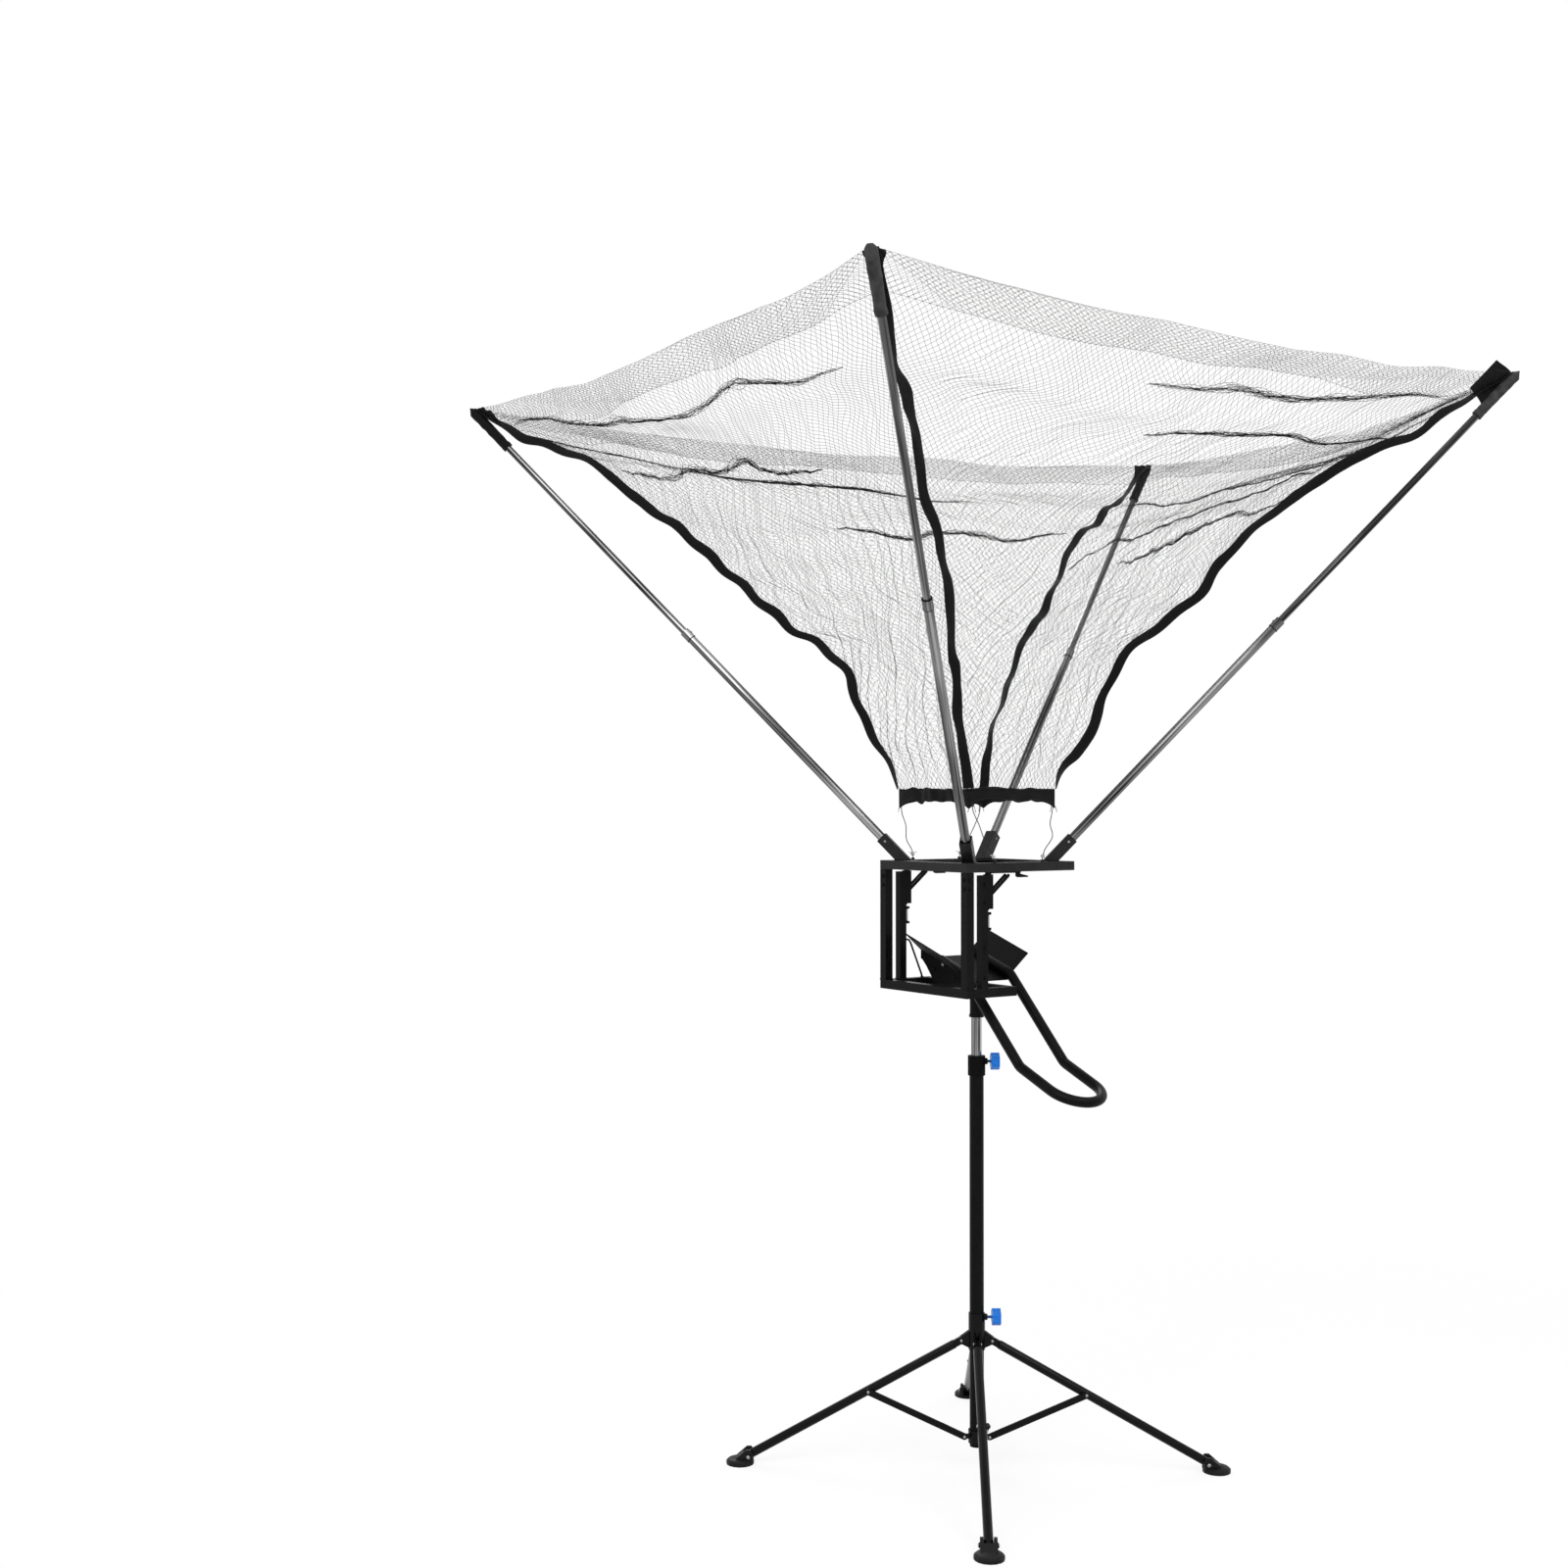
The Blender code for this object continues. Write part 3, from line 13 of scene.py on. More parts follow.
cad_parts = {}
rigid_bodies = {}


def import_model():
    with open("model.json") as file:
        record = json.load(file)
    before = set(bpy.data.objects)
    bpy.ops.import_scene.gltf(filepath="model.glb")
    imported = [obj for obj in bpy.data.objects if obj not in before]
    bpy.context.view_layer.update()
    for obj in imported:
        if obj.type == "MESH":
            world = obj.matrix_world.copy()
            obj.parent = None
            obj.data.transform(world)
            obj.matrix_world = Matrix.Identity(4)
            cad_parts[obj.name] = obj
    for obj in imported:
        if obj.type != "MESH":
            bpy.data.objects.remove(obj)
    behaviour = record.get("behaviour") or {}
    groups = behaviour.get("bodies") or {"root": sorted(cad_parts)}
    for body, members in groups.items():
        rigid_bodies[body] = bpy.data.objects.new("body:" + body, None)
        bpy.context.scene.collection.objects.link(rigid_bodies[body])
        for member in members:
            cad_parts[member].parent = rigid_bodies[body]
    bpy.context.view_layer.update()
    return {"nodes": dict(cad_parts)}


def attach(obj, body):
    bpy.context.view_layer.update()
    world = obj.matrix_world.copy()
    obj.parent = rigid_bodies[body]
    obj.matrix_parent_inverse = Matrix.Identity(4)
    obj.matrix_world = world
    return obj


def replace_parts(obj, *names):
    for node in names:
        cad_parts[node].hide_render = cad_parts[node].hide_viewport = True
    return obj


for old in list(bpy.data.objects):
    bpy.data.objects.remove(old)
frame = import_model()
nodes = frame["nodes"]

# Sizes repeated from the CAD source
GAP = 0.0003
HUB_PIVOT = (0.043, 0.355)
FOOT_PIVOT = (0.640, 0.024)
COLLAR_PIVOT = (0.035, 0.090)
BRACE_JOINT = 0.298
LEG_RADIUS = 0.0125
HUB_PIN_FACE = 0.01005
COLLAR_PIN_FACE = 0.0203
BRACE_RIVET_FACE = 0.0205
FOOT_BOLT_FACE = 0.0245
RIVET_SINK = 0.0012
LEGS = (("back_right", 53, -1), ("back_left", 143, 1), ("front_left", 233, 1), ("front_right", 323, -1))
FRAME_HALF = 0.1925
BAR = 0.025
BAR_CENTRE = FRAME_HALF - BAR / 2
POST_FOOT = 1.360
TOP_FRAME_TOP = 1.697
INNER_POST_X = -0.128
INNER_POST_HALF = 0.011
SOCKET_CORNER = 0.145
SOCKET_HALF = 0.016
SOCKET_LENGTH = 0.090
POLE_COLLAR = 0.014
POCKET_OUTER = 0.0125
POCKET_LENGTH = 0.150
TIP_REACH_X = 1.130
TIP_REACH_Y = 1.030
POLE_RISE = 1.331
# Corner: its sides in X and Y, and its shares of TIP_REACH_X, TIP_REACH_Y and POLE_RISE
CORNERS = {
    "front_left": (-1, -1, 1.000, 1.000, 0.975),
    "back_left": (-1, 1, 0.935, 1.000, 0.985),
    "front_right": (1, -1, 1.000, 0.910, 1.000),
    "back_right": (1, 1, 1.005, 0.470, 0.958),
}
SEAM_SHARES = (
    (0.90, 0.925), (0.78, 0.86), (0.66, 0.80), (0.52, 0.70), (0.43, 0.61),
    (0.35, 0.52), (0.25, 0.42), (0.15, 0.31), (0.08, 0.19), (0.03, 0.09),
)
SEAM_STEPS = 22
CURVE_STEPS = 12
HEM_HALF = 0.157
HEM_FOOT = 1.8625
HEM_TOP = 1.8975
WEBBING_WIDTH = 0.030
WEBBING_THICKNESS = 0.0018
NET_SAG = 0.045
CORD_RADIUS = 0.00125
CORD_STEP = 0.009
TIE_TOP = (0.145, 0.157, 1.8620)
TIE_FOOT = (0.085, 0.180, 1.7036)
TIE_ROUTES = {
    "front_left": ((-0.143, -0.160, 1.835), (-0.128, -0.166, 1.800), (-0.118, -0.176, 1.760),
                   (-0.096, -0.178, 1.727)),
    "back_left": ((-0.140, 0.160, 1.830), (-0.126, 0.160, 1.795), (-0.116, 0.170, 1.755),
                  (-0.092, 0.176, 1.725)),
    "front_right": ((0.147, -0.152, 1.835), (0.134, -0.158, 1.800), (0.130, -0.172, 1.765),
                    (0.100, -0.174, 1.730)),
    "back_right": ((0.138, 0.152, 1.832), (0.132, 0.164, 1.798), (0.112, 0.168, 1.760),
                   (0.094, 0.178, 1.726)),
}
CHUTE_WALL = 0.096
CHUTE_FRONT = -0.045
CHUTE_FRONT_HEIGHT = 1.3875
CHUTE_SLOPE = 0.3237
RAIL_RADIUS = 0.014
RAIL_OFFSET = 0.0787
RAIL_LIFT = -0.003
RAIL_WALL = 0.0015
RAIL_START = 0.060
RAIL_KNEE = -0.050
RAIL_LOW = (-0.275, -0.2315)
RAIL_END = (-0.395, -0.279)
RAIL_BEND = 0.050


def linked(name, data):
    made = bpy.data.objects.new(name, data)
    bpy.context.scene.collection.objects.link(made)
    return made


# Camera
def add_camera():
    lens = bpy.data.cameras.new("camera")
    lens.lens = 45
    lens.sensor_width = 36
    camera = linked("camera", lens)
    camera.location = (-3.523, -4.258, 1.865)
    camera.rotation_euler = (pi / 2 + 0.0085, 0, -radians(34))
    bpy.context.scene.camera = camera


# Materials
def add_node(tree, kind, inputs=(), **settings):
    """A node with its settings, and a socket or a value for each of its inputs."""
    made = tree.nodes.new("ShaderNode" + kind)
    for name, value in settings.items():
        setattr(made, name, value)
    for name, value in dict(inputs).items():
        if isinstance(value, bpy.types.NodeSocket):
            tree.links.new(value, made.inputs[name])
        else:
            made.inputs[name].default_value = value
    return made


def seen_ray(tree):
    """1 for a camera, glossy or transmission ray, and 0 for any other."""
    rays = add_node(tree, "LightPath").outputs
    other = add_node(tree, "Math", {0: rays["Is Glossy Ray"], 1: rays["Is Transmission Ray"]},
                     operation="MAXIMUM")
    return add_node(tree, "Math", {0: rays["Is Camera Ray"], 1: other.outputs[0]},
                    operation="MAXIMUM").outputs[0]


class Surface:
    """A Principled material, built node by node."""

    def __init__(self, name, **values):
        self.material = bpy.data.materials.new(name)
        self.material.use_nodes = True
        self.tree = self.material.node_tree
        self.shader = self.tree.nodes["Principled BSDF"]
        for socket, value in values.items():
            self.shader.inputs[socket.replace("_", " ")].default_value = value
        self.place = self.node("TexCoord").outputs["Object"]
        self.height = None

    def node(self, kind, inputs=(), **settings):
        return add_node(self.tree, kind, inputs, **settings)

    def stretched(self, size, turn=(0, 0, 0)):
        """Coordinates in which a feature of one unit has that size in metres."""
        return self.node("Mapping", {"Vector": self.place, "Rotation": turn, "Scale": size},
                         vector_type="TEXTURE").outputs["Vector"]

    def noise(self, scale, detail=2.0, place=None):
        inputs = {"Vector": place or self.place, "Scale": scale, "Detail": detail}
        return self.node("TexNoise", inputs).outputs["Fac"]

    def maths(self, operation, *values):
        return self.node("Math", enumerate(values), operation=operation).outputs[0]

    def blend(self, first, share, second, other):
        return self.maths("MULTIPLY_ADD", first, share, self.maths("MULTIPLY", second, other))

    def spread(self, value, low, high, start=0.3, end=0.7):
        """Maps a value from start..end onto low..high."""
        inputs = {"Value": value, "From Min": start, "From Max": end, "To Min": low, "To Max": high}
        return self.node("MapRange", inputs).outputs["Result"]

    def ramp(self, value, *stops):
        made = self.node("ValToRGB", {"Fac": value})
        band = made.color_ramp
        while len(band.elements) < len(stops):
            band.elements.new(0.5)
        for element, (spot, colour) in zip(band.elements, stops):
            element.position = spot
            element.color = (*colour, 1)
        return made.outputs["Color"]

    def mix(self, share, first, second):
        """The first colour where share is 0, and the second where it is 1."""
        return self.node("Mix", {"Factor": share, 6: first, 7: second}, data_type="RGBA").outputs[2]

    def drive(self, name, value):
        self.tree.links.new(value, self.shader.inputs[name])

    def colour(self, value, *stops):
        self.drive("Base Color", self.ramp(value, *stops))

    def roughness(self, value, low, high, start=0.3, end=0.7):
        self.drive("Roughness", self.spread(value, low, high, start, end))

    def bump(self, height, strength, distance):
        """Lays one more relief over those before it."""
        inputs = {"Height": height, "Strength": strength, "Distance": distance}
        if self.height is not None:
            inputs["Normal"] = self.height
        self.height = self.node("Bump", inputs).outputs["Normal"]
        self.drive("Normal", self.height)


def grey(value, tint=0.0):
    return (value, value, value * (1 + tint))


def powder_coat(name, dark, pale, smooth, rough, shine):
    """Satin powder coat: orange peel, broad unevenness, and faint dusty rubs."""
    look = Surface(name, Metallic=0.0, Specular_IOR_Level=shine)
    broad = look.noise(7, 3)
    rubs = look.noise(70, 6)
    both = look.blend(rubs, 0.55, broad, 0.45)
    look.colour(both, (0.35, grey(dark)), (0.62, grey((dark + pale) / 2, 0.05)), (0.76, grey(pale, 0.06)))
    look.roughness(both, smooth, rough)
    look.bump(look.noise(850, 2), smooth * 0.5, 0.0003)
    look.bump(broad, 0.06, 0.0010)
    return look.material


def chrome_plate():
    look = Surface("chrome", Metallic=1.0)
    # draw: streaks along the mast. Their bump is a real drawn relief, and their colour, near black to mid
    # grey, is painted reflection bands.
    draw = look.noise(1, 3, look.stretched((0.0110, 0.0110, 1.20)))
    haze = look.noise(30, 4)
    look.colour(draw, (0.36, grey(0.04)), (0.50, grey(0.18)), (0.62, grey(0.50, 0.015)))
    look.roughness(look.maths("MULTIPLY", draw, haze), 0.10, 0.30, 0.15, 0.45)
    look.bump(draw, 0.10, 0.0003)
    return look.material


def bright_zinc():
    """Plated bolt and rivet heads."""
    look = Surface("bright_zinc", Metallic=1.0)
    haze = look.noise(420, 4)
    look.colour(haze, (0.3, grey(0.16)), (0.7, grey(0.40, 0.02)))
    look.roughness(haze, 0.18, 0.42)
    look.bump(look.noise(1500, 2), 0.15, 0.0002)
    return look.material


def brushed_aluminium(name, frame_of_pole):
    """Satin tube, drawn along its own axis. Its colour, near black to grey in long streaks and patches, is
    painted reflection; the streaks also give real brush lines in the bump.
    """
    look = Surface(name, Metallic=1.0)
    turn = tuple(frame_of_pole.to_euler())
    brush_lines_and_painted_reflections = look.noise(1, 3, look.stretched((0.0050, 0.0050, 0.70), turn))
    painted_reflection_patches = look.noise(1, 3, look.stretched((0.05, 0.05, 0.50), turn))
    both = look.blend(brush_lines_and_painted_reflections, 0.5, painted_reflection_patches, 0.5)
    # Painted reflection: the colour runs from near black to grey over the streaks and patches.
    look.colour(both, (0.42, grey(0.020)), (0.51, grey(0.12)), (0.62, grey(0.36, 0.02)))
    look.roughness(both, 0.42, 0.24)
    look.bump(brush_lines_and_painted_reflections, 0.10, 0.0003)
    return look.material


SCREW_REACH = 0.0395


def knob_plastic(azimuth):
    """Blue moulded head on a dark steel screw."""
    look = Surface("knob_blue", Specular_IOR_Level=0.25)
    split = look.node("SeparateXYZ", {"Vector": look.place})
    reach = look.blend(split.outputs["X"], cos(azimuth), split.outputs["Y"], sin(azimuth))
    screw = look.maths("LESS_THAN", reach, SCREW_REACH)
    blotch = look.noise(160, 3)
    blue = look.ramp(blotch, (0.3, (0.003, 0.120, 0.500)), (0.7, (0.006, 0.180, 0.680)))
    steel = look.ramp(blotch, (0.3, (0.010, 0.045, 0.150)), (0.7, (0.016, 0.070, 0.230)))
    look.drive("Base Color", look.mix(screw, blue, steel))
    look.roughness(blotch, 0.30, 0.46)
    look.bump(look.noise(1100, 2), 0.18, 0.0003)
    return look.material


def moulded_plastic():
    look = Surface("foot_plastic", Specular_IOR_Level=0.14)
    cloud = look.noise(45, 4)
    look.colour(cloud, (0.3, grey(0.0025)), (0.7, grey(0.008)))
    look.roughness(cloud, 0.42, 0.66)
    look.bump(look.noise(620, 3), 0.35, 0.0006)
    return look.material


TWILL_PITCH = 0.0022
WEFT_PITCH = 0.0013
STITCH_PITCH = 0.0052
STITCH_INSET = 0.0036
STITCH_HALF = 0.0007


def woven(name, dark, pale, thread, width=None):
    """Black tape: diagonal ribs, and a row of stitches inside each edge, from the band's own map."""
    look = Surface(name, Specular_IOR_Level=0.10, Sheen_Weight=0.04, Sheen_Roughness=0.5)
    band = look.node("UVMap", uv_map="band").outputs["UV"]
    split = look.node("SeparateXYZ", {"Vector": band})
    side, run = split.outputs["X"], split.outputs["Y"]

    def ribs(along, pitch):
        return look.maths("SINE", look.maths("MULTIPLY", along, 2 * pi / pitch))

    twill = ribs(look.maths("ADD", side, run), TWILL_PITCH)
    weft = ribs(run, WEFT_PITCH)
    cloth = look.blend(weft, 0.4, twill, 0.6)
    dust = look.noise(38, 5)
    tone = look.maths("MULTIPLY_ADD", cloth, 0.14, dust)
    colour = look.ramp(tone, (0.32, grey(dark)), (0.74, grey(pale)))
    look.bump(cloth, 0.45, 0.0005)
    if width:
        away = look.maths("SUBTRACT", look.maths("ABSOLUTE", side), width / 2 - STITCH_INSET)
        row = look.maths("LESS_THAN", look.maths("ABSOLUTE", away), STITCH_HALF)
        stitch = look.maths("MULTIPLY", row, look.maths("GREATER_THAN", ribs(run, STITCH_PITCH), -0.35))
        colour = look.mix(stitch, colour, (*grey(thread), 1))
        look.bump(stitch, 0.7, 0.0006)
    look.drive("Base Color", colour)
    look.roughness(dust, 0.62, 0.86)
    return look.material


def twisted_yarn(name, dark, pale, pitch, rough):
    """Thin braided line: fine slanted strands and uneven dye."""
    look = Surface(name, Specular_IOR_Level=0.12)
    dye = look.noise(24, 4)
    lay = look.noise(1, 2, look.stretched((pitch, pitch, pitch * 0.6), (0.6, 0.5, 0.3)))
    tone = look.blend(lay, 0.4, dye, 0.6)
    look.colour(tone, (0.34, grey(dark)), (0.66, grey(pale)))
    look.roughness(tone, rough, rough + 0.2)
    look.bump(lay, 0.5, 0.0003)
    return look.material


# Shapes
def circle(count):
    return [2 * pi * n / count for n in range(count)]


class Shape:
    """Collects the faces of one mesh, with places on a band where it has them."""

    def __init__(self):
        self.points = []
        self.faces = []
        self.places = []

    def grid(self, rows, wrap=False, capped=False, closed=False, places=None):
        """Quads between rows of points.

        wrap closes each row, capped closes the ends, and closed joins the last row to the first.
        """
        first = len(self.points)
        count = len(rows[0])
        for k, row in enumerate(rows):
            self.points += [tuple(point) for point in row]
            self.places += list(places[k]) if places else [(0.0, 0.0)] * count
        for k in range(len(rows) if closed else len(rows) - 1):
            low, high = first + k * count, first + (k + 1) % len(rows) * count
            for n in range(count if wrap else count - 1):
                m = (n + 1) % count
                self.faces.append((low + n, low + m, high + m, high + n))
        if capped:
            self.faces.append(tuple(first + n for n in reversed(range(count))))
            self.faces.append(tuple(first + (len(rows) - 1) * count + n for n in range(count)))

    def lathe(self, profile, place, sides=20):
        """Turns (radius, height) about the place's Z. The ends are closed."""
        self.grid([[place @ Vector((r * cos(t), r * sin(t), h)) for t in circle(sides)] for r, h in profile],
                  wrap=True, capped=True)

    def box(self, low, high):
        (x0, y0, z0), (x1, y1, z1) = low, high
        outline = ((x0, y0), (x1, y0), (x1, y1), (x0, y1))
        self.grid([[(x, y, z) for x, y in outline] for z in (z0, z1)], wrap=True, capped=True)

    def tube(self, path, radius, sides=10, capped=True, closed=False):
        """A round bar along a path. radius is a number or one number for each point."""
        radii = radius if isinstance(radius, (list, tuple)) else [radius] * len(path)
        rows = []
        side = None
        for k, point in enumerate(path):
            before = path[k - 1] if closed or k else path[0]
            after = path[(k + 1) % len(path)] if closed else path[min(k + 1, len(path) - 1)]
            along = (after - before).normalized()
            if side is None:
                side = along.orthogonal()
            side = (side - along * side.dot(along)).normalized()
            up = along.cross(side)
            rows.append([point + (side * cos(t) + up * sin(t)) * radii[k] for t in circle(sides)])
        self.grid(rows, wrap=True, capped=capped and not closed, closed=closed)

    def piece(self, name, look, body, slot, sharp=40, mapped=False):
        """Makes the mesh as a piece that rides on a body."""
        mesh = bpy.data.meshes.new(name)
        mesh.from_pydata(self.points, [], self.faces)
        if mapped:
            layer = mesh.uv_layers.new(name="band")
            spots = np.array(self.places, dtype=np.float32)
            corners = np.empty(len(mesh.loops), dtype=np.int32)
            mesh.loops.foreach_get("vertex_index", corners)
            layer.uv.foreach_set("vector", spots[corners].ravel())
        whole = bmesh.new()
        whole.from_mesh(mesh)
        bmesh.ops.recalc_face_normals(whole, faces=whole.faces[:])
        whole.to_mesh(mesh)
        whole.free()
        mesh.shade_smooth()
        mesh.set_sharp_from_angle(angle=radians(sharp))
        return placed(name, mesh, look, body)


def cloth_piece(shape, name, look, sharp=60):
    return shape.piece(name, look, "canopy", "webbing", sharp, mapped=True)


def placed(name, data, look, body):
    data.materials.append(look)
    made = linked(name, data)
    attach(made, body)
    return made


def move(x, y, z):
    return Matrix.Translation((x, y, z))


def facing(spot, direction):
    """A frame at a spot whose Z points in a direction."""
    turn = Vector(direction).to_track_quat("Z", "Y").to_matrix().to_4x4()
    return Matrix.Translation(spot) @ turn


def smooth_through(knots, count):
    """Evenly spread points on a smooth curve through the knots."""
    dense = []
    ends = [knots[0] * 2 - knots[1], *knots, knots[-1] * 2 - knots[-2]]
    for before, start, end, after in zip(ends, ends[1:], ends[2:], ends[3:]):
        for k in range(CURVE_STEPS):
            t = k / CURVE_STEPS
            dense.append(0.5 * (2 * start + (end - before) * t
                                + (2 * before - 5 * start + 4 * end - after) * t ** 2
                                + (3 * start - before - 3 * end + after) * t ** 3))
    dense.append(knots[-1])
    runs = [0.0]
    for start, end in zip(dense, dense[1:]):
        runs.append(runs[-1] + (end - start).length)
    points = []
    k = 0
    for n in range(count + 1):
        goal = runs[-1] * n / count
        while k < len(dense) - 2 and runs[k + 1] < goal:
            k += 1
        points.append(dense[k].lerp(dense[k + 1], (goal - runs[k]) / (runs[k + 1] - runs[k])))
    return points


def run_length(points):
    return sum((end - start).length for start, end in zip(points, points[1:]))


def direction(points, k):
    """The way along a path at one of its points."""
    return (points[min(k + 1, len(points) - 1)] - points[max(k - 1, 0)]).normalized()


WAVE_COUNT = 7


def waves(seed, scale, x, y=0.0):
    """Smooth seeded unevenness from -1 to 1, with features about scale wide."""
    draw = np.random.RandomState(seed)
    total = 0.0
    for _ in range(WAVE_COUNT):
        turn, phase = draw.uniform(0, 2 * pi, 2)
        pitch = 2 * pi / (scale * draw.uniform(0.7, 2.2))
        total = total + np.sin((x * cos(turn) + y * sin(turn)) * pitch + phase)
    return total / WAVE_COUNT * 1.6


# Places on the poles
def tip_point(name):
    side_x, side_y, share_x, share_y, rise_share = CORNERS[name]
    return Vector((side_x * TIP_REACH_X * share_x, side_y * TIP_REACH_Y * share_y,
                   TOP_FRAME_TOP + POLE_RISE * rise_share))


def corner_at(name, reach, height):
    return Vector((CORNERS[name][0] * reach, CORNERS[name][1] * reach, height))


def pole_place(name):
    """The pole's frame: Z along it from the top frame, and X in its upright plane."""
    base = corner_at(name, SOCKET_CORNER, TOP_FRAME_TOP)
    along = (tip_point(name) - base).normalized()
    across = Vector((along.y, -along.x, 0)).normalized()
    turn = Matrix((across.cross(along), across, along)).transposed().to_4x4()
    turn.translation = base
    return turn


def pole_length(name):
    return (tip_point(name) - corner_at(name, SOCKET_CORNER, TOP_FRAME_TOP)).length


def seam_path(name):
    """The corner seam from the pole's tip to the hem, and the normal of its upright plane."""
    inward = pole_place(name).col[0].xyz
    top = tip_point(name) + inward * POCKET_OUTER
    foot = corner_at(name, HEM_HALF, HEM_TOP + 2 * GAP)
    flat = Vector((top.x - foot.x, top.y - foot.y, 0))
    rise = Vector((0, 0, top.z - foot.z))
    knots = [top, *(foot + flat * reach + rise * height for reach, height in SEAM_SHARES),
             foot + Vector((0, 0, WEBBING_WIDTH)), foot]
    return smooth_through(knots, SEAM_STEPS), Vector((-flat.y, flat.x, 0)).normalized()


SEAM_POINTS = 160
# Corner: turn of its tape about the seam in radians; 0 lies square to the seam's upright plane
TAPE_TURNS = {"front_left": 0.45, "back_left": 1.25, "front_right": -1.25, "back_right": 0.10}


def wandering_seam(name):
    """The seam as it hangs: the CAD path with small seeded wanders that die out at both ends."""
    points, normal = seam_path(name)
    points = smooth_through(points, SEAM_POINTS)
    seed = 40 + list(CORNERS).index(name) * 5
    share = np.linspace(0, 1, SEAM_POINTS + 1)
    fade = np.clip(np.minimum(share / 0.10, (1 - share) / 0.06), 0, 1)
    side = (waves(seed, 0.13, share) * 0.010 + waves(seed + 2, 0.30, share) * 0.016) * fade
    lift = (waves(seed + 1, 0.085, share) * 0.012 + waves(seed + 3, 0.24, share) * 0.028) * fade
    hung = []
    for k, point in enumerate(points):
        hung.append(point + normal * float(side[k]) + direction(points, k).cross(normal) * float(lift[k]))
    return hung, normal


# Webbing, pockets and patches
TAPE_SHARES = (-1.0, -0.62, -0.2, 0.2, 0.62, 1.0)
TAPE_SWING = 0.65
TAPE_PINCH = 0.22
TAPE_CUP = 0.0022


def tape_row(spot, wide, out, half, run, shares, thick, cup=0.0):
    """Both faces of a tape across one spot, and their places on its band."""
    row = [spot + wide * (half * s) + out * (cup * s * s + face * thick / 2)
           for face in (1, -1) for s in shares[::face]]
    places = [(half * s, run) for s in shares]
    return row, places + places[::-1]


def add_webbing(name, tape):
    """Sewn tape down the seam, which twists as it hangs and so looks wide and narrow in turn."""
    points, normal = wandering_seam(name)
    seed = 70 + list(CORNERS).index(name)
    share = np.linspace(0, 1, SEAM_POINTS + 1)
    fade = np.clip(np.minimum(share / 0.12, (1 - share) / 0.08), 0, 1)
    twist = (TAPE_TURNS[name] + waves(seed, 0.16, share) * TAPE_SWING) * fade
    pinch = 1 - TAPE_PINCH * np.abs(waves(seed + 9, 0.09, share)) * fade
    rows = []
    run = 0.0
    for k, point in enumerate(points):
        along = direction(points, k)
        run += (point - points[max(k - 1, 0)]).length
        wide = Matrix.Rotation(float(twist[k]), 3, along) @ normal
        wide = (wide - along * wide.dot(along)).normalized()
        cup = TAPE_CUP * float(fade[k]) * sin(run * 38 + seed)
        half = WEBBING_WIDTH / 2 * float(pinch[k])
        rows.append(tape_row(point, wide, along.cross(wide), half, run, TAPE_SHARES, WEBBING_THICKNESS, cup))
    rows, places = zip(*rows)
    band = Shape()
    band.grid(rows, wrap=True, capped=True, places=places)
    webbing = cloth_piece(band, f"seam_webbing_{name}", tape)
    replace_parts(webbing, f"corner_webbing_{name}")
    return webbing, run_length(points)


POCKET_STEPS = 30
POCKET_SIDES = 28
POCKET_OVER_TIP = 0.016


def add_pocket(name, cloth):
    """The sleeve sewn over the pole's end: wrinkled, hemmed at its mouth and pinched flat above the tip."""
    place = pole_place(name)
    length = pole_length(name)
    seed = 100 + list(CORNERS).index(name)
    rows, places = [], []
    turns = np.array(circle(POCKET_SIDES))
    for k in range(POCKET_STEPS + 1):
        share = k / POCKET_STEPS
        along = length - POCKET_LENGTH + (POCKET_LENGTH + POCKET_OVER_TIP) * share
        mouth = 0.0011 if share < 0.07 else 0.0
        wrinkle = waves(seed, 0.020, turns * 0.012, along) * 0.0010
        radius = POCKET_OUTER + 0.0012 + mouth + wrinkle + 0.0016 * share
        close = min(max((along - length - 0.001) / 0.015, 0.0), 1.0)
        thin = 1 - 0.90 * close ** 0.8
        broad = 1 - 0.55 * close ** 1.4
        rows.append([place @ Vector((r * cos(t) * thin, r * sin(t) * broad, along))
                     for r, t in zip(radius, turns)])
        places.append([(0.013 * (2 * abs((t / pi) % 2 - 1) - 1), along) for t in turns])
    sleeve = Shape()
    sleeve.grid(rows, wrap=True, capped=True, places=places)
    return cloth_piece(sleeve, f"tip_pocket_{name}", cloth, 65)


PATCH_STEPS = 8


def double_layer(shape, spot, normal):
    """A small piece of cloth: two layers of one grid, and the edge round them."""
    shares = [n / PATCH_STEPS for n in range(PATCH_STEPS + 1)]
    flat = [[(0.06 * (b - 0.5), 0.09 * a) for b in shares] for a in shares]
    edges = []
    for face in (-1, 1):
        rows = [[spot(a, b) + normal * (face * 0.0007) for b in shares] for a in shares]
        shape.grid(rows, places=flat)
        edge = rows[0] + [row[-1] for row in rows[1:]] + rows[-1][-2::-1] + [row[0] for row in rows[-2:0:-1]]
        edges.append(edge + edge[:1])
    shape.grid(edges, places=[[(0.0, 0.0)] * len(edges[0])] * 2)


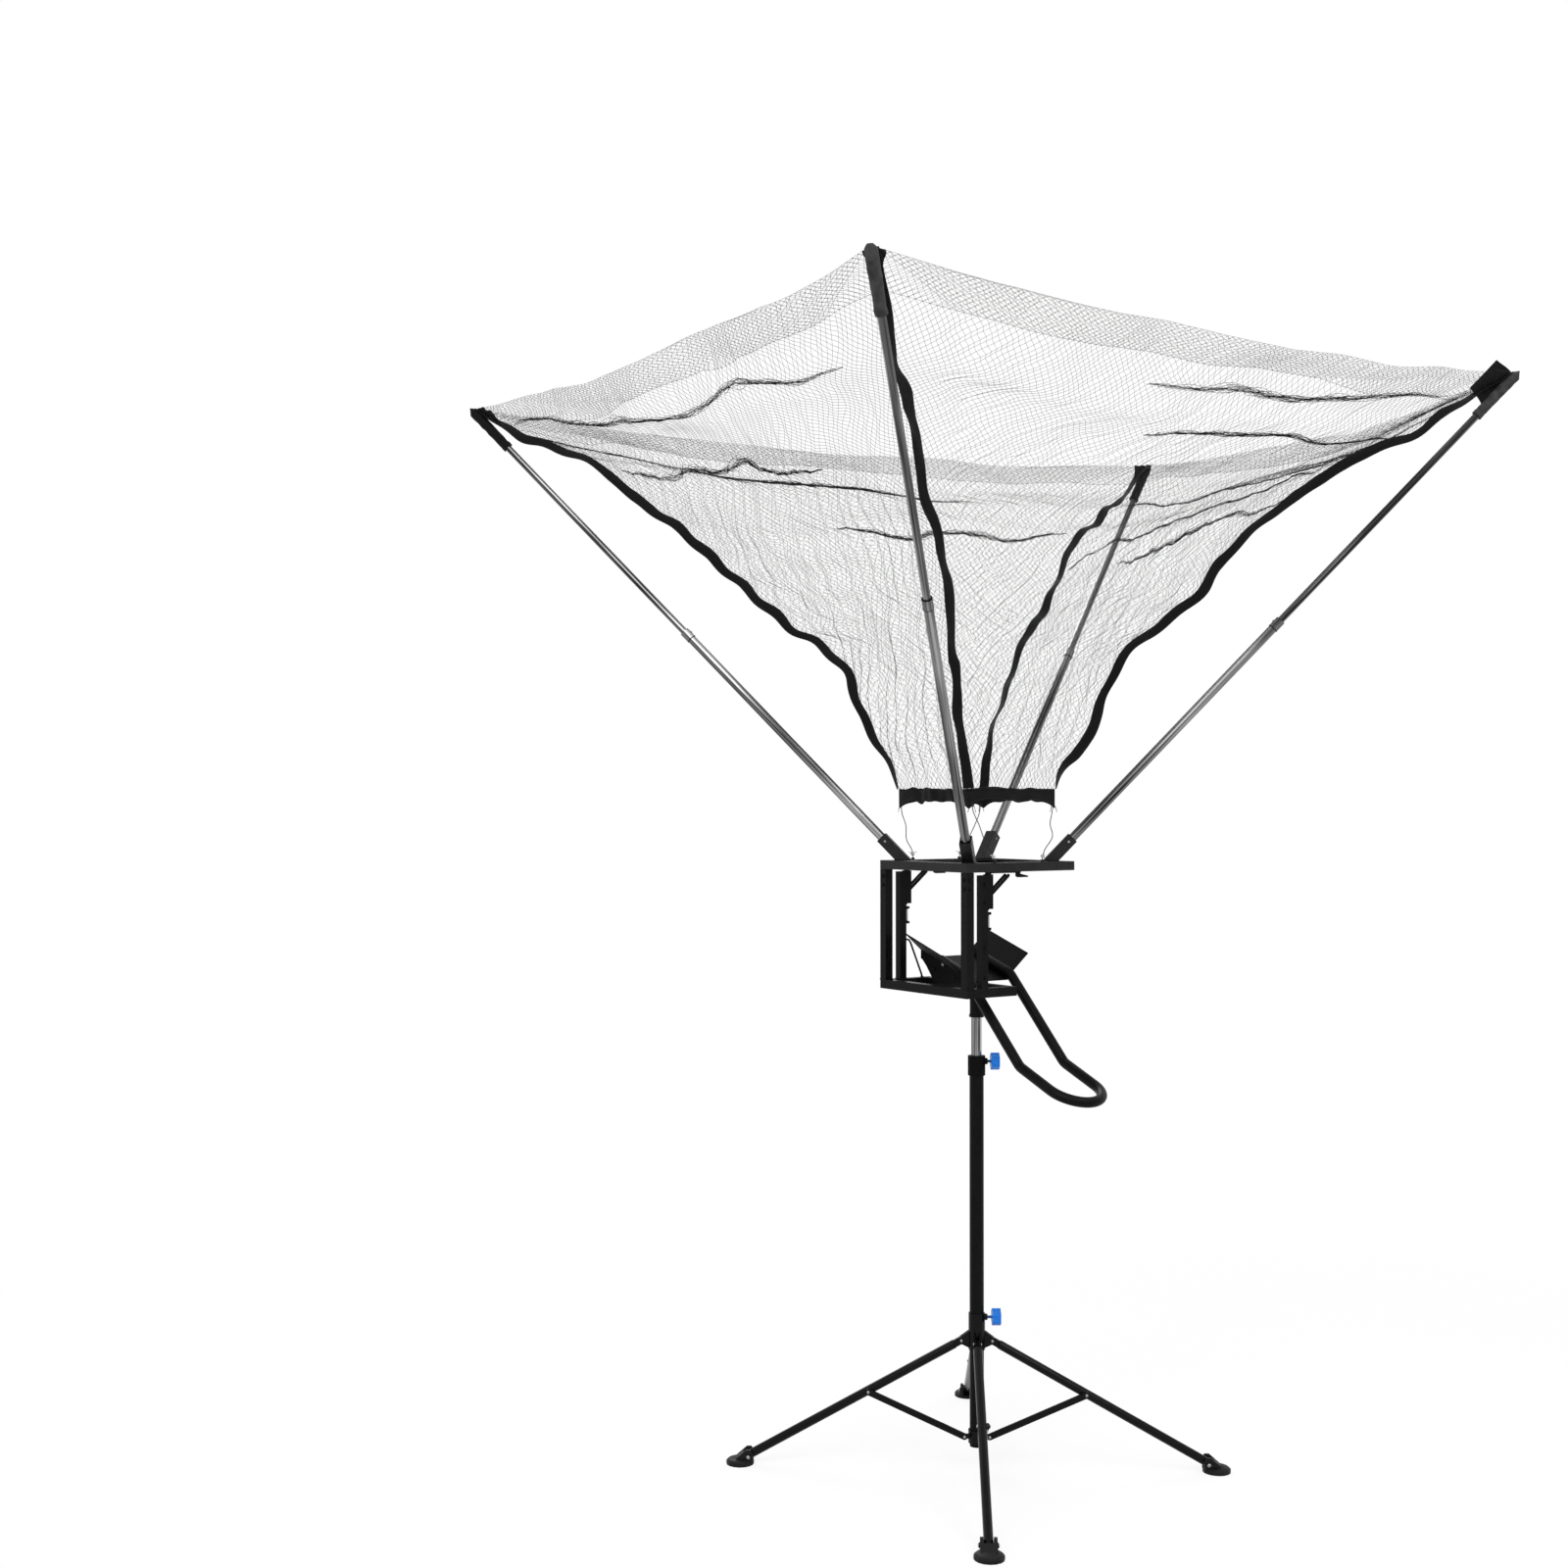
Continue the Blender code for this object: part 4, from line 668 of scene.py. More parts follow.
def add_patch(name, neighbours, tape):
    """Two cloth triangles that join the pocket to the net's corner, and one corner's square flap."""
    seam, _ = wandering_seam(name)
    top = seam[0]
    down = (seam[9] - seam[0]).normalized()
    reach, drop = (0.080, 0.120) if name == "front_right" else (0.038, 0.090)
    patch = Shape()
    for side, other in enumerate(neighbours):
        toward = (tip_point(other) - tip_point(name)).normalized()
        normal = toward.cross(down).normalized()

        def corner_spot(a, b):
            b *= 1 - a * 0.94
            return (top + toward * (reach * a) + down * (drop * b - 0.010 * a * (1 - a))
                    + normal * (0.003 * sin(7 * a + 3 * side) * cos(9 * b)))

        double_layer(patch, corner_spot, normal)
    if name == "front_right":
        place = pole_place(name)
        inward, across, along = (place.col[k].xyz for k in range(3))
        tip = tip_point(name)

        def flap_spot(a, b):
            return (tip + inward * (0.010 + 0.056 * a) - along * (0.118 * b - 0.014 * a * b)
                    + across * (0.004 * sin(5 * a + 6 * b)))

        double_layer(patch, flap_spot, across)
    return cloth_piece(patch, f"tip_patch_{name}", tape)


HEM_STEPS = 300
HEM_THICKNESS = 0.0022
HEM_CORNER_START = 1.16
HEM_CORNER_DROP = 0.0105
HEM_CORNER_SPREAD = 0.60


def add_hem(tape):
    """The tape round the net's outlet: loose between its corners, which the ties draw down to points."""
    rows = []
    seed = 130
    run = 0.0
    before = None
    shares = (-1.0, -0.5, 0.0, 0.5, 1.0)
    angle = np.linspace(0, 2 * pi, HEM_STEPS, endpoint=False)
    x, y = np.cos(angle), np.sin(angle)
    inout = waves(seed, 0.30, x, y) * 0.0060
    rise = waves(seed + 1, 0.34, x, y) * 0.0065
    lean = waves(seed + 2, 0.42, x, y) * 0.35
    for k in range(HEM_STEPS):
        t = float(angle[k])
        square = 1 / max(abs(cos(t)), abs(sin(t)))
        corner = max(0.0, (square - HEM_CORNER_START) / (2 ** 0.5 - HEM_CORNER_START))
        reach = HEM_HALF * square * (1 - 0.012 * corner) + float(inout[k]) * (1 - corner)
        height = (HEM_FOOT + HEM_TOP) / 2 + float(rise[k]) * (1 - corner) - HEM_CORNER_DROP * corner ** 2
        middle = Vector((reach * cos(t), reach * sin(t), height))
        run += 0.0 if before is None else (middle - before).length
        before = middle
        out = Vector((cos(t), sin(t), 0))
        up = (Vector((0, 0, 1)) + out * (float(lean[k]) * (1 - corner))).normalized()
        face = up.cross(Vector((-sin(t), cos(t), 0))).normalized()
        half = (HEM_TOP - HEM_FOOT) / 2 * (1 + HEM_CORNER_SPREAD * corner ** 2)
        rows.append(tape_row(middle, up, face, half, run, shares, HEM_THICKNESS))
    rows, places = zip(*rows)
    band = Shape()
    band.grid(rows, wrap=True, closed=True, places=places)
    hem = cloth_piece(band, "net_hem", tape)
    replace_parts(hem, "bottom_hem")
    return hem, run


# Net
CELL_WIDTH = 0.0200
CELL_HEIGHT = 0.0250
STRAND_RADIUS = 0.00038
FOLD_STRANDS = 24
FOLD_THICK = 1.6
HEM_GATHER = 0.30
BAND_ROWS = 9
BAND_CELL_SHARE = 1.15
BAND_APART = 0.003
SLOPE_STEP = 0.004
# Panel: (corner, corner, seed, folds as (height share at the first corner, at the second, start, end, width))
PANELS = {
    "left": ("front_left", "back_left", 11,
             ((0.16, 0.07, 0.10, 0.97, 0.050), (0.40, 0.24, 0.30, 0.92, 0.040))),
    "back": ("back_left", "back_right", 12,
             ((0.09, 0.22, 0.03, 0.72, 0.050), (0.40, 0.34, 0.42, 0.97, 0.040))),
    "right": ("back_right", "front_right", 13,
              ((0.20, 0.12, 0.04, 0.98, 0.055), (0.42, 0.22, 0.02, 0.90, 0.045),
               (0.50, 0.36, 0.30, 0.95, 0.030))),
    "front": ("front_right", "front_left", 14,
              ((0.07, 0.17, 0.02, 0.60, 0.050), (0.20, 0.28, 0.03, 0.55, 0.040))),
}


def unit(arrow):
    return arrow / np.maximum(np.linalg.norm(arrow, axis=-1, keepdims=True), 1e-9)


class Panel:
    """One side of the net: where a point of its flat cloth hangs."""

    def __init__(self, name):
        first, second, self.seed, self.folds = PANELS[name]
        self.edges = []
        for corner, other in ((first, second), (second, first)):
            points, normal = wandering_seam(corner)
            toward = tip_point(other) - tip_point(corner)
            inward = normal if normal.dot(toward) > 0 else -normal
            self.edges.append(np.array([point + inward * 0.007 for point in points]))
        self.share = np.linspace(0, 1, SEAM_POINTS + 1)
        self.drop = sum(run_length([Vector(point) for point in edge]) for edge in self.edges) / 2
        self.widths = np.linalg.norm(self.edges[0] - self.edges[1], axis=1)

    def edge(self, which, v):
        return np.stack([np.interp(v, self.share, self.edges[which][:, axis]) for axis in range(3)], axis=-1)

    def width(self, v):
        return np.interp(v, self.share, self.widths)

    def flat_place(self, u, v):
        u, v = np.clip(u, 0, 1), np.clip(v, 0, 1)
        across = u[..., None]
        spot = self.edge(0, v) * (1 - across) + self.edge(1, v) * across
        spot[..., 2] -= NET_SAG * 4 * u * (1 - u) * (1 - v) ** 2
        return spot

    def fold_height(self, k, u):
        start, end = self.folds[k][:2]
        return start + (end - start) * u + waves(self.seed * 20 + k, 0.20, u) * 0.028

    def fold_line(self, k, draw):
        """One strand of the bunch in a fold: it wanders beside the fold's line for part of its length."""
        low, high = self.folds[k][2:4]
        start, end = np.sort(draw.uniform(low, high, 2))
        if end - start < 0.15 * (high - low):
            start, end = low, high
        u = np.linspace(start, end, max(12, int((end - start) * 150)))
        seed = int(draw.randint(1, 100000))
        swell = np.sin(pi * (u - low) / (high - low)) ** 0.5
        v = self.fold_height(k, u) + waves(seed, 0.07, u) * 0.0120 * swell
        return self.hung_place(u, np.clip(v, 0, 1), folded=False)

    def hung_place(self, u, v, folded=True):
        """Bunches the mesh along its folds, gathers it to the hem and adds its wrinkles."""
        seed = self.seed * 20
        free = np.clip(np.minimum(u, 1 - u) / 0.10, 0, 1) * np.clip((1 - v) / 0.05, 0, 1)
        ridge = np.zeros_like(u)
        for k, (_, _, low, high, width) in enumerate(self.folds):
            line = self.fold_height(k, u)
            alive = np.clip(np.minimum(u - low, high - u) / 0.08, 0, 1)
            away = v - line
            near = np.clip(np.abs(away) / width, 0, 1)
            pulled = line + np.sign(away) * width * near ** 2.6
            if folded:
                v = np.where(np.abs(away) < width, v + (pulled - v) * alive, v)
            ridge = np.maximum(ridge, (1 - near) * alive)
        v = np.clip(v + waves(seed + 5, 0.30, u * 2, v * 2) * 0.008 * free, 0, 1)
        bundle = waves(seed + 6, 0.045, u * self.width(v) * 2, v * 0.25)
        u = u + bundle * free * (0.002 + 0.022 * v ** 2)
        u = np.clip(u + waves(seed + 7, 0.40, u * 3, v * 3) * 0.006 * free, 0, 1)
        du = self.flat_place(u + SLOPE_STEP, v) - self.flat_place(u - SLOPE_STEP, v)
        dv = self.flat_place(u, v + SLOPE_STEP) - self.flat_place(u, v - SLOPE_STEP)
        normal = unit(np.cross(du, dv))
        metres = u * self.width(v)
        puff = waves(seed + 8, 0.42, metres, v * self.drop) * 0.022 * (0.35 + 0.65 * np.sin(pi * u))
        crease = waves(seed + 9, 0.120, metres, v * self.drop) * (0.0020 + 0.0050 * v)
        pleat = waves(seed + 10, 0.060, metres * 2.2, v * 0.20) * 0.012 * v
        lift = (puff + crease + pleat) * free + ridge * 0.010
        return self.flat_place(u, v) + normal * lift[..., None], normal


class Strands:
    """Collects the three-sided strands of one net."""

    def __init__(self):
        self.points, self.faces, self.total = [], [], 0

    def add(self, points, arrows, normals, links, thick=1):
        """Strands along links, which share a ring of three at each point."""
        side = unit(np.cross(arrows, normals))
        up = unit(np.cross(side, arrows))
        ring = [points + (side * cos(t) + up * sin(t)) * (STRAND_RADIUS * thick)
                for t in (pi / 2, pi * 7 / 6, pi * 11 / 6)]
        used, packed = np.unique(links, return_inverse=True)
        start, end = packed.reshape(links.shape).T * 3 + self.total
        self.points.append(np.stack([spots[used] for spots in ring], axis=1).reshape(-1, 3))
        for n, m in ((0, 1), (1, 2), (2, 0)):
            self.faces.append(np.stack([start + n, start + m, end + m, end + n], axis=1))
        self.total += len(self.points[-1])

    def thread(self, points, normals, thick=1):
        """One strand through a row of points."""
        index = np.arange(len(points) - 1)
        links = np.stack([index, index + 1], axis=1)
        self.add(points, unit(np.gradient(points, axis=0)), normals, links, thick)


def add_net(name, yarn):
    """Diamond mesh of one panel, cut to its shape from cloth of even cells, with a doubled top band."""
    panel = Panel(name)
    rows = int(round(panel.drop / (CELL_HEIGHT / 2)))
    v_rows = np.linspace(0, 1, rows + 1)
    half_widths = panel.width(v_rows) * (1 + HEM_GATHER * v_rows ** 1.6) / 2
    step = CELL_WIDTH / 2
    reach = int(half_widths.max() / step) + 2
    columns = np.arange(-reach, reach + 1)
    row_at, column_at = np.meshgrid(np.arange(rows + 1), columns, indexing="ij")
    across = column_at * step
    limit = half_widths[row_at]
    inside = (np.abs(across) <= limit) & ((row_at + column_at) % 2 == 0)
    u = 0.5 + np.clip(across, -limit, limit) / (2 * limit)
    spots, normals = panel.hung_place(u, v_rows[row_at])
    strands = Strands()
    width = len(columns)
    spots, normals = spots.reshape(-1, 3), normals.reshape(-1, 3)
    for slant in (1, -1):
        at = np.argwhere(inside[:-1, 1:-1]) + (0, 1)
        start = at[:, 0] * width + at[:, 1]
        links = np.stack([start, start + width + slant], axis=1)
        arrows = np.zeros_like(spots)
        run = unit(spots[links[:, 1]] - spots[links[:, 0]])
        np.add.at(arrows, links[:, 0], run)
        np.add.at(arrows, links[:, 1], run)
        strands.add(spots, unit(arrows), normals, links)
    for row in (0, BAND_ROWS, rows):
        count = int(panel.width(v_rows[row]) / step)
        strands.thread(*panel.hung_place(np.linspace(0, 1, count + 1), np.full(count + 1, v_rows[row])))
    count = int(panel.width(0.0) / (CELL_WIDTH * BAND_CELL_SHARE))
    share = (np.arange(count) + 0.5) / count
    levels = np.linspace(0, v_rows[BAND_ROWS], BAND_ROWS * 2 + 1)
    for slant in (1, -1):
        band_u = np.clip(share[None, :] + (np.arange(len(levels)) * slant * 0.5 / count)[:, None], 0, 1)
        band, out = panel.hung_place(band_u, np.repeat(levels[:, None], count, axis=1))
        band = band + out * BAND_APART
        index = np.arange((len(levels) - 1) * count)
        strands.add(band.reshape(-1, 3), unit(np.gradient(band, axis=0)).reshape(-1, 3), out.reshape(-1, 3),
                    np.stack([index, index + count], axis=1))
    draw = np.random.RandomState(panel.seed)
    for k in range(len(panel.folds)):
        for _ in range(FOLD_STRANDS):
            strands.thread(*panel.fold_line(k, draw), FOLD_THICK)
    mesh = bpy.data.meshes.new(f"net_{name}")
    mesh.from_pydata(np.concatenate(strands.points).tolist(), [], np.concatenate(strands.faces).tolist())
    mesh.shade_smooth()
    net = placed(f"net_{name}", mesh, yarn, "canopy")
    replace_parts(net, f"net_panel_{name}")


# Ties
KNOT_STEPS = 60
HEM_TAIL_STEPS = (0, 0.15, 0.3, 0.45, 0.6, 0.75, 0.9, 1.0)
EYE_TAIL_STEPS = (0, 0.2, 0.4, 0.6, 0.8, 1.0)


def add_tie(name, yarn, pale):
    """A thin cord from the hem's corner to the frame's eye, with a knot at each end."""
    side_x, side_y = CORNERS[name][:2]
    top, foot = (Vector((side_x * x, side_y * y, height)) for x, y, height in (TIE_TOP, TIE_FOOT))
    points = [top, *map(Vector, TIE_ROUTES[name]), foot]
    route = smooth_through(points, int(run_length(points) / CORD_STEP))
    curve = bpy.data.curves.new(f"tie_{name}", "CURVE")
    curve.dimensions = "3D"
    curve.bevel_depth = CORD_RADIUS
    curve.bevel_resolution = 3
    curve.use_fill_caps = True
    line = curve.splines.new("POLY")
    line.points.add(len(route) - 1)
    for spot, point in zip(line.points, route):
        spot.co = (*point, 1)
    cord = placed(f"tie_{name}", curve, yarn, "canopy")
    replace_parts(cord, f"tie_cord_{name}")
    for end, spot, size in (("hem", route[1], 0.0034), ("eye", route[-2] + Vector((0, 0, 0.001)), 0.0042)):
        knot, loop = Shape(), []
        for t in circle(KNOT_STEPS):
            wide = 0.42 * (2 + cos(3 * t))
            loop.append(spot + Vector((wide * cos(2 * t), wide * sin(2 * t), sin(3 * t) * 0.9)) * size)
        knot.tube(loop, CORD_RADIUS * 0.95, 8, closed=True)
        for n in range(2):
            turn = list(CORNERS).index(name) * 1.7 + n * 2.4 + (0 if end == "hem" else 1)
            lean = Vector((cos(turn), sin(turn), 0))
            if end == "hem":
                tail = [spot + lean * (0.002 + 0.010 * s) + Vector((0, 0, -0.024 * s * s + 0.004 * s))
                        for s in HEM_TAIL_STEPS]
            else:
                tail = [spot + lean * (0.002 + 0.011 * s) + Vector((0, 0, 0.006 * sin(pi * s * 0.8)))
                        for s in EYE_TAIL_STEPS]
            knot.tube(tail, CORD_RADIUS * 0.7, 6)
        twine = pale if end == "eye" else yarn
        knot.piece(f"tie_knot_{end}_{name}", twine, "canopy", "tie_cord")


# Hardware
SQUARE = ((-1, -1), (1, -1), (1, 1), (-1, 1))
# Profiles of heads, as (share of the radius, share of the height)
DOME = ((1, 0), (1, 0.45), (0.86, 0.74), (0.58, 0.93), (0.22, 1))
SOCKET_HEAD = ((1, 0), (1, 0.35), (0.82, 0.85), (0.55, 1), (0.42, 1), (0.40, 0.55))
WASHER = ((1.32, 0), (1.32, 0.16), (1.26, 0.22))
HEX_HEAD = ((1, 0.2), (1, 0.86), (0.86, 1))
# Sizes of heads, as (radius, height)
PIN_HEAD = (0.0042, 0.0024)
COLLAR_PIN_HEAD = (0.0040, 0.0022)
LEG_RIVET_HEAD = (0.0042, 0.0036)
FOOT_BOLT_HEAD = (0.0052, 0.0026)
OUTER_POST_HEAD = (0.0052, 0.0032)
INNER_POST_HEAD = (0.0046, 0.0030)
LATCH_HEAD = (0.0044, 0.0030)
CHUTE_HEAD = (0.0050, 0.0032)
ROD_HEAD = (0.0068, 0.0022)
SOCKET_BOLT = (0.0026, 0.0024)
POLE_RIVET = (0.0036, 0.0026)


def turned(shape, profile, place, size, sides=20):
    """A bolt or rivet head that stands on its place along Z."""
    radius, height = size
    shape.lathe([(radius * reach, height * rise) for reach, rise in profile], place, sides)


def add_leg_rivets(zinc):
    slope = atan2(HUB_PIVOT[1] - FOOT_PIVOT[1], FOOT_PIVOT[0] - HUB_PIVOT[0])
    joint = (HUB_PIVOT[0] + BRACE_JOINT * cos(slope), HUB_PIVOT[1] - BRACE_JOINT * sin(slope))
    hub, base = Shape(), Shape()
    for name, azimuth, side in LEGS:
        turn = Matrix.Rotation(radians(azimuth), 4, "Z")

        def head(shape, spot, way, face, size):
            turned(shape, DOME, turn @ facing((spot[0], way * face, spot[1]), (0, way, 0)), size)

        outer, inner, bolt = Shape(), Shape(), Shape()
        for way in (-1, 1):
            head(hub, HUB_PIVOT, way, HUB_PIN_FACE, PIN_HEAD)
            head(bolt, FOOT_PIVOT, way, FOOT_BOLT_FACE, FOOT_BOLT_HEAD)
        head(base, COLLAR_PIVOT, side, COLLAR_PIN_FACE, COLLAR_PIN_HEAD)
        head(outer, joint, side, BRACE_RIVET_FACE, PIN_HEAD)
        head(inner, joint, -side, LEG_RADIUS - RIVET_SINK, LEG_RIVET_HEAD)
        for part, kind, made in (("brace", "rivet", outer), ("leg", "rivet", inner), ("foot", "bolt", bolt)):
            made.piece(f"{part}_{kind}_{name}", zinc, f"{part}_{name}", "chrome")
    hub.piece("hub_pin_heads", zinc, "hub", "chrome")
    base.piece("collar_pin_heads", zinc, "base", "chrome")


OUTER_POST_BOLTS = (1.652, 1.628)
INNER_POST_BOLTS = (1.640, 1.592, 1.470, 1.388)
CHUTE_SPOTS = ((0.070, 1.392), (-0.022, 1.374), (0.030, 1.4075))
LATCH_OUT = 0.0043
LATCH_TOP = 1.5652
LATCH_HOLDERS = (1.5155, 1.5575)
LATCH_BLOCK = ((-0.0002, -0.0075, 0), (0.0138, 0.0085, 0.007))
LATCH_SLEEVE = ((0.0058, 1.5225), (0.0074, 1.5240), (0.0074, 1.5560), (0.0058, 1.5575))
STAY_ROD = ((-0.116, 1.470), (-0.108, 1.470), (-0.100, 1.468), (-0.094, 1.460), (-0.056, 1.372),
            (-0.052, 1.3595))


def add_head_hardware(zinc, coat):
    """Bolts, latch clips, weld beads and the stay rod of the head."""
    bright, dark = Shape(), Shape()
    for side in (-1, 1):
        for height in OUTER_POST_BOLTS:
            for spot, way in (((-BAR_CENTRE, side * FRAME_HALF, height), (0, side, 0)),
                              ((-FRAME_HALF, side * BAR_CENTRE, height), (-1, 0, 0))):
                turned(dark, SOCKET_HEAD, facing(spot, way), OUTER_POST_HEAD)
        inner_y = side * (BAR_CENTRE + INNER_POST_HALF)
        for height in INNER_POST_BOLTS:
            turned(dark, SOCKET_HEAD, facing((INNER_POST_X, inner_y, height), (0, side, 0)), INNER_POST_HEAD)
        post_face = INNER_POST_X + INNER_POST_HALF
        for height in LATCH_HOLDERS:
            dark.box(*[(post_face + x, side * BAR_CENTRE + y, height + z) for x, y, z in LATCH_BLOCK])
        latch = move(post_face + LATCH_OUT, side * BAR_CENTRE, 0)
        turned(bright, DOME, latch @ move(0, 0, LATCH_TOP), LATCH_HEAD)
        bright.lathe(LATCH_SLEEVE, latch, 24)
        for shape, (y, height) in zip((dark, dark, bright), CHUTE_SPOTS):
            turned(shape, SOCKET_HEAD, facing((side * CHUTE_WALL, y, height), (side, 0, 0)), CHUTE_HEAD)
    bright.piece("head_bright_heads", zinc, "head", "chrome")
    dark.piece("head_bolts", coat, "head", "powder_black")
    beads = Shape()
    for side in (-1, 1):
        for x, half in ((-BAR_CENTRE, BAR / 2), (INNER_POST_X, INNER_POST_HALF)):
            weld_loop(beads, [Vector((x + a * half, side * BAR_CENTRE + b * half, POST_FOOT + 0.0008))
                              for a, b in SQUARE], *POST_WELD)
    beads.piece("head_welds", coat, "head", "powder_black", sharp=80)
    rod = Shape()
    rod.tube([Vector((x, BAR_CENTRE, height)) for x, height in STAY_ROD], 0.0028, sides=12)
    turned(rod, SOCKET_HEAD, move(STAY_ROD[-1][0], BAR_CENTRE, POST_FOOT), ROD_HEAD)
    rod.piece("stay_rod", coat, "head", "powder_black")


WELD_STEPS = 12
# Weld beads, as (radius, ripple, pace)
POST_WELD = (0.0019, 0.0004, 2.1)
SOCKET_WELD = (0.0021, 0.0005, 2.3)
# Rings on the pole's joint collar, as (start and end from the pole's middle, rise over POLE_COLLAR)
JOINT_RINGS = ((-0.0312, -0.0290, 0.0004), (-0.0012, 0.0010, -0.0004))
RING_EDGE = 0.0004


def weld_loop(shape, corners, radius, ripple, pace):
    """A rippled bead round a square."""
    path = []
    for k, corner in enumerate(corners):
        path += [corner.lerp(corners[(k + 1) % 4], n / WELD_STEPS) for n in range(WELD_STEPS)]
    shape.tube(path, [radius + ripple * sin(n * pace) for n in range(len(path))], 8, closed=True)


def add_canopy_hardware(zinc, coat):
    bright, dark, welds = Shape(), Shape(), Shape()
    for name in CORNERS:
        place = pole_place(name)
        for face in (-1, 1):
            bolt = place @ facing((0, face * SOCKET_HALF, SOCKET_LENGTH - 0.016), (0, face, 0))
            turned(bright, WASHER, bolt, SOCKET_BOLT, 24)
            turned(bright, HEX_HEAD, bolt, SOCKET_BOLT, 6)
        middle = pole_length(name) / 2
        for start, end, rise in JOINT_RINGS:
            start, end, radius = middle + start, middle + end, POLE_COLLAR + rise
            dark.lathe([(radius - 0.0006, start), (radius, start + RING_EDGE), (radius, end - RING_EDGE),
                        (radius - 0.0006, end)], place, 24)
        rivet = facing((POLE_COLLAR - 0.0004, 0, middle - 0.014), (1, 0, 0))
        turned(bright, DOME, place @ rivet, POLE_RIVET)
        lows = [place @ Vector((a * SOCKET_HALF, b * SOCKET_HALF, 0)) for a, b in SQUARE]
        along = place.col[2].xyz
        weld_loop(welds, [low + along * ((TOP_FRAME_TOP + 0.0006 - low.z) / along.z) for low in lows],
                  *SOCKET_WELD)
    bright.piece("canopy_bright_heads", zinc, "canopy", "chrome")
    dark.piece("pole_joint_rings", coat, "canopy", "powder_black")
    welds.piece("canopy_welds", coat, "canopy", "powder_black", sharp=80)


def chute_rim(y):
    return CHUTE_FRONT_HEIGHT + CHUTE_SLOPE * (y - CHUTE_FRONT)


def filleted(points, radius, steps=10):
    """Rounds the inner corners of a path with arcs."""
    path = [points[0]]
    for before, corner, after in zip(points, points[1:], points[2:]):
        back = (before - corner).normalized()
        ahead = (after - corner).normalized()
        turn = pi - back.angle(ahead)
        cut_back = radius * tan(turn / 2)
        middle = (back + ahead).normalized()
        centre = corner + middle * (radius / cos(turn / 2))
        start = corner + back * cut_back - centre
        end = corner + ahead * cut_back - centre
        for k in range(steps + 1):
            path.append(centre + start.slerp(end, k / steps).normalized() * radius)
    path.append(points[-1])
    return path


RAIL_SIDES = 28
BEND_STEPS = 36


def add_rail(coat):
    """The chute's bent tube with smooth bends and an open bore at each end."""
    knees = [(y, chute_rim(y) + RAIL_LIFT) for y in (RAIL_START, RAIL_KNEE)]
    knees += [(y, CHUTE_FRONT_HEIGHT + drop) for y, drop in (RAIL_LOW, RAIL_END)]
    half = [Vector((RAIL_OFFSET, y, height)) for y, height in knees]
    right = filleted(half, RAIL_BEND)
    ahead = (half[3] - half[2]).normalized()
    centre = Vector((0, half[3].y, half[3].z))
    bend = [centre + Vector((RAIL_OFFSET * cos(t), 0, 0)) + ahead * (RAIL_OFFSET * sin(t))
            for t in (pi * k / BEND_STEPS for k in range(1, BEND_STEPS))]
    path = right + bend + [Vector((-point.x, point.y, point.z)) for point in reversed(right)]
    rail = Shape()
    for radius in (RAIL_RADIUS, RAIL_RADIUS - RAIL_WALL):
        rail.tube(path, radius, RAIL_SIDES, capped=False)
    bore = len(rail.points) // 2
    for end in (0, bore - RAIL_SIDES):
        for n in range(end, end + RAIL_SIDES):
            m = end + (n + 1 - end) % RAIL_SIDES
            rail.faces.append((n, m, bore + m, bore + n))
    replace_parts(rail.piece("rail_tube", coat, "head", "powder_black"), "chute_rail")


# Finishes of the CAD nodes
def finish_nodes(surfaces):
    for name, made in nodes.items():
        look = surfaces[next((part for part in surfaces if name.startswith(part)), "default")]
        for held in made.material_slots:
            held.link = "OBJECT"
            held.material = look
        if not made.material_slots:
            made.data.materials.append(look)
        made.data.shade_smooth()
        made.data.set_sharp_from_angle(angle=radians(32))


# Stage, world and lamps
FLOOR_HALF = 40
# Lamp: (name, place, size, power)
LAMPS = (("key", (-4.5, -3.5, 5.5), 4.5, 240), ("fill", (0.7, -4.2, 5.3), 3.0, 110),
         ("rim", (1.5, 5.0, 5.0), 4.0, 160))
LAMP_AIM = Vector((0, 0, 1.6))


def add_floor():
    """A pale floor that shades near the object and fades into the white world away from it."""
    mesh = bpy.data.meshes.new("floor")
    mesh.from_pydata([(a * FLOOR_HALF, b * FLOOR_HALF, 0) for a, b in SQUARE], [], [(0, 1, 2, 3)])
    floor = linked("floor", mesh)
    look = Surface("pale_floor", Roughness=0.9, Specular_IOR_Level=0.1)
    look.colour(look.noise(0.8, 2), (0.2, grey(0.90)), (0.8, grey(0.93)))
    glow = look.node("Emission", {"Color": (1, 1, 1, 1), "Strength": 1.0})
    away = look.node("VectorMath", {0: look.place}, operation="LENGTH").outputs["Value"]
    share = look.maths("MULTIPLY", seen_ray(look.tree), look.spread(away, 0.80, 1.0, 1.0, 4.0))
    mixed = look.node("MixShader", {0: share, 1: look.shader.outputs[0], 2: glow.outputs[0]})
    look.tree.links.new(mixed.outputs["Shader"], look.tree.nodes["Material Output"].inputs["Surface"])
    mesh.materials.append(look.material)


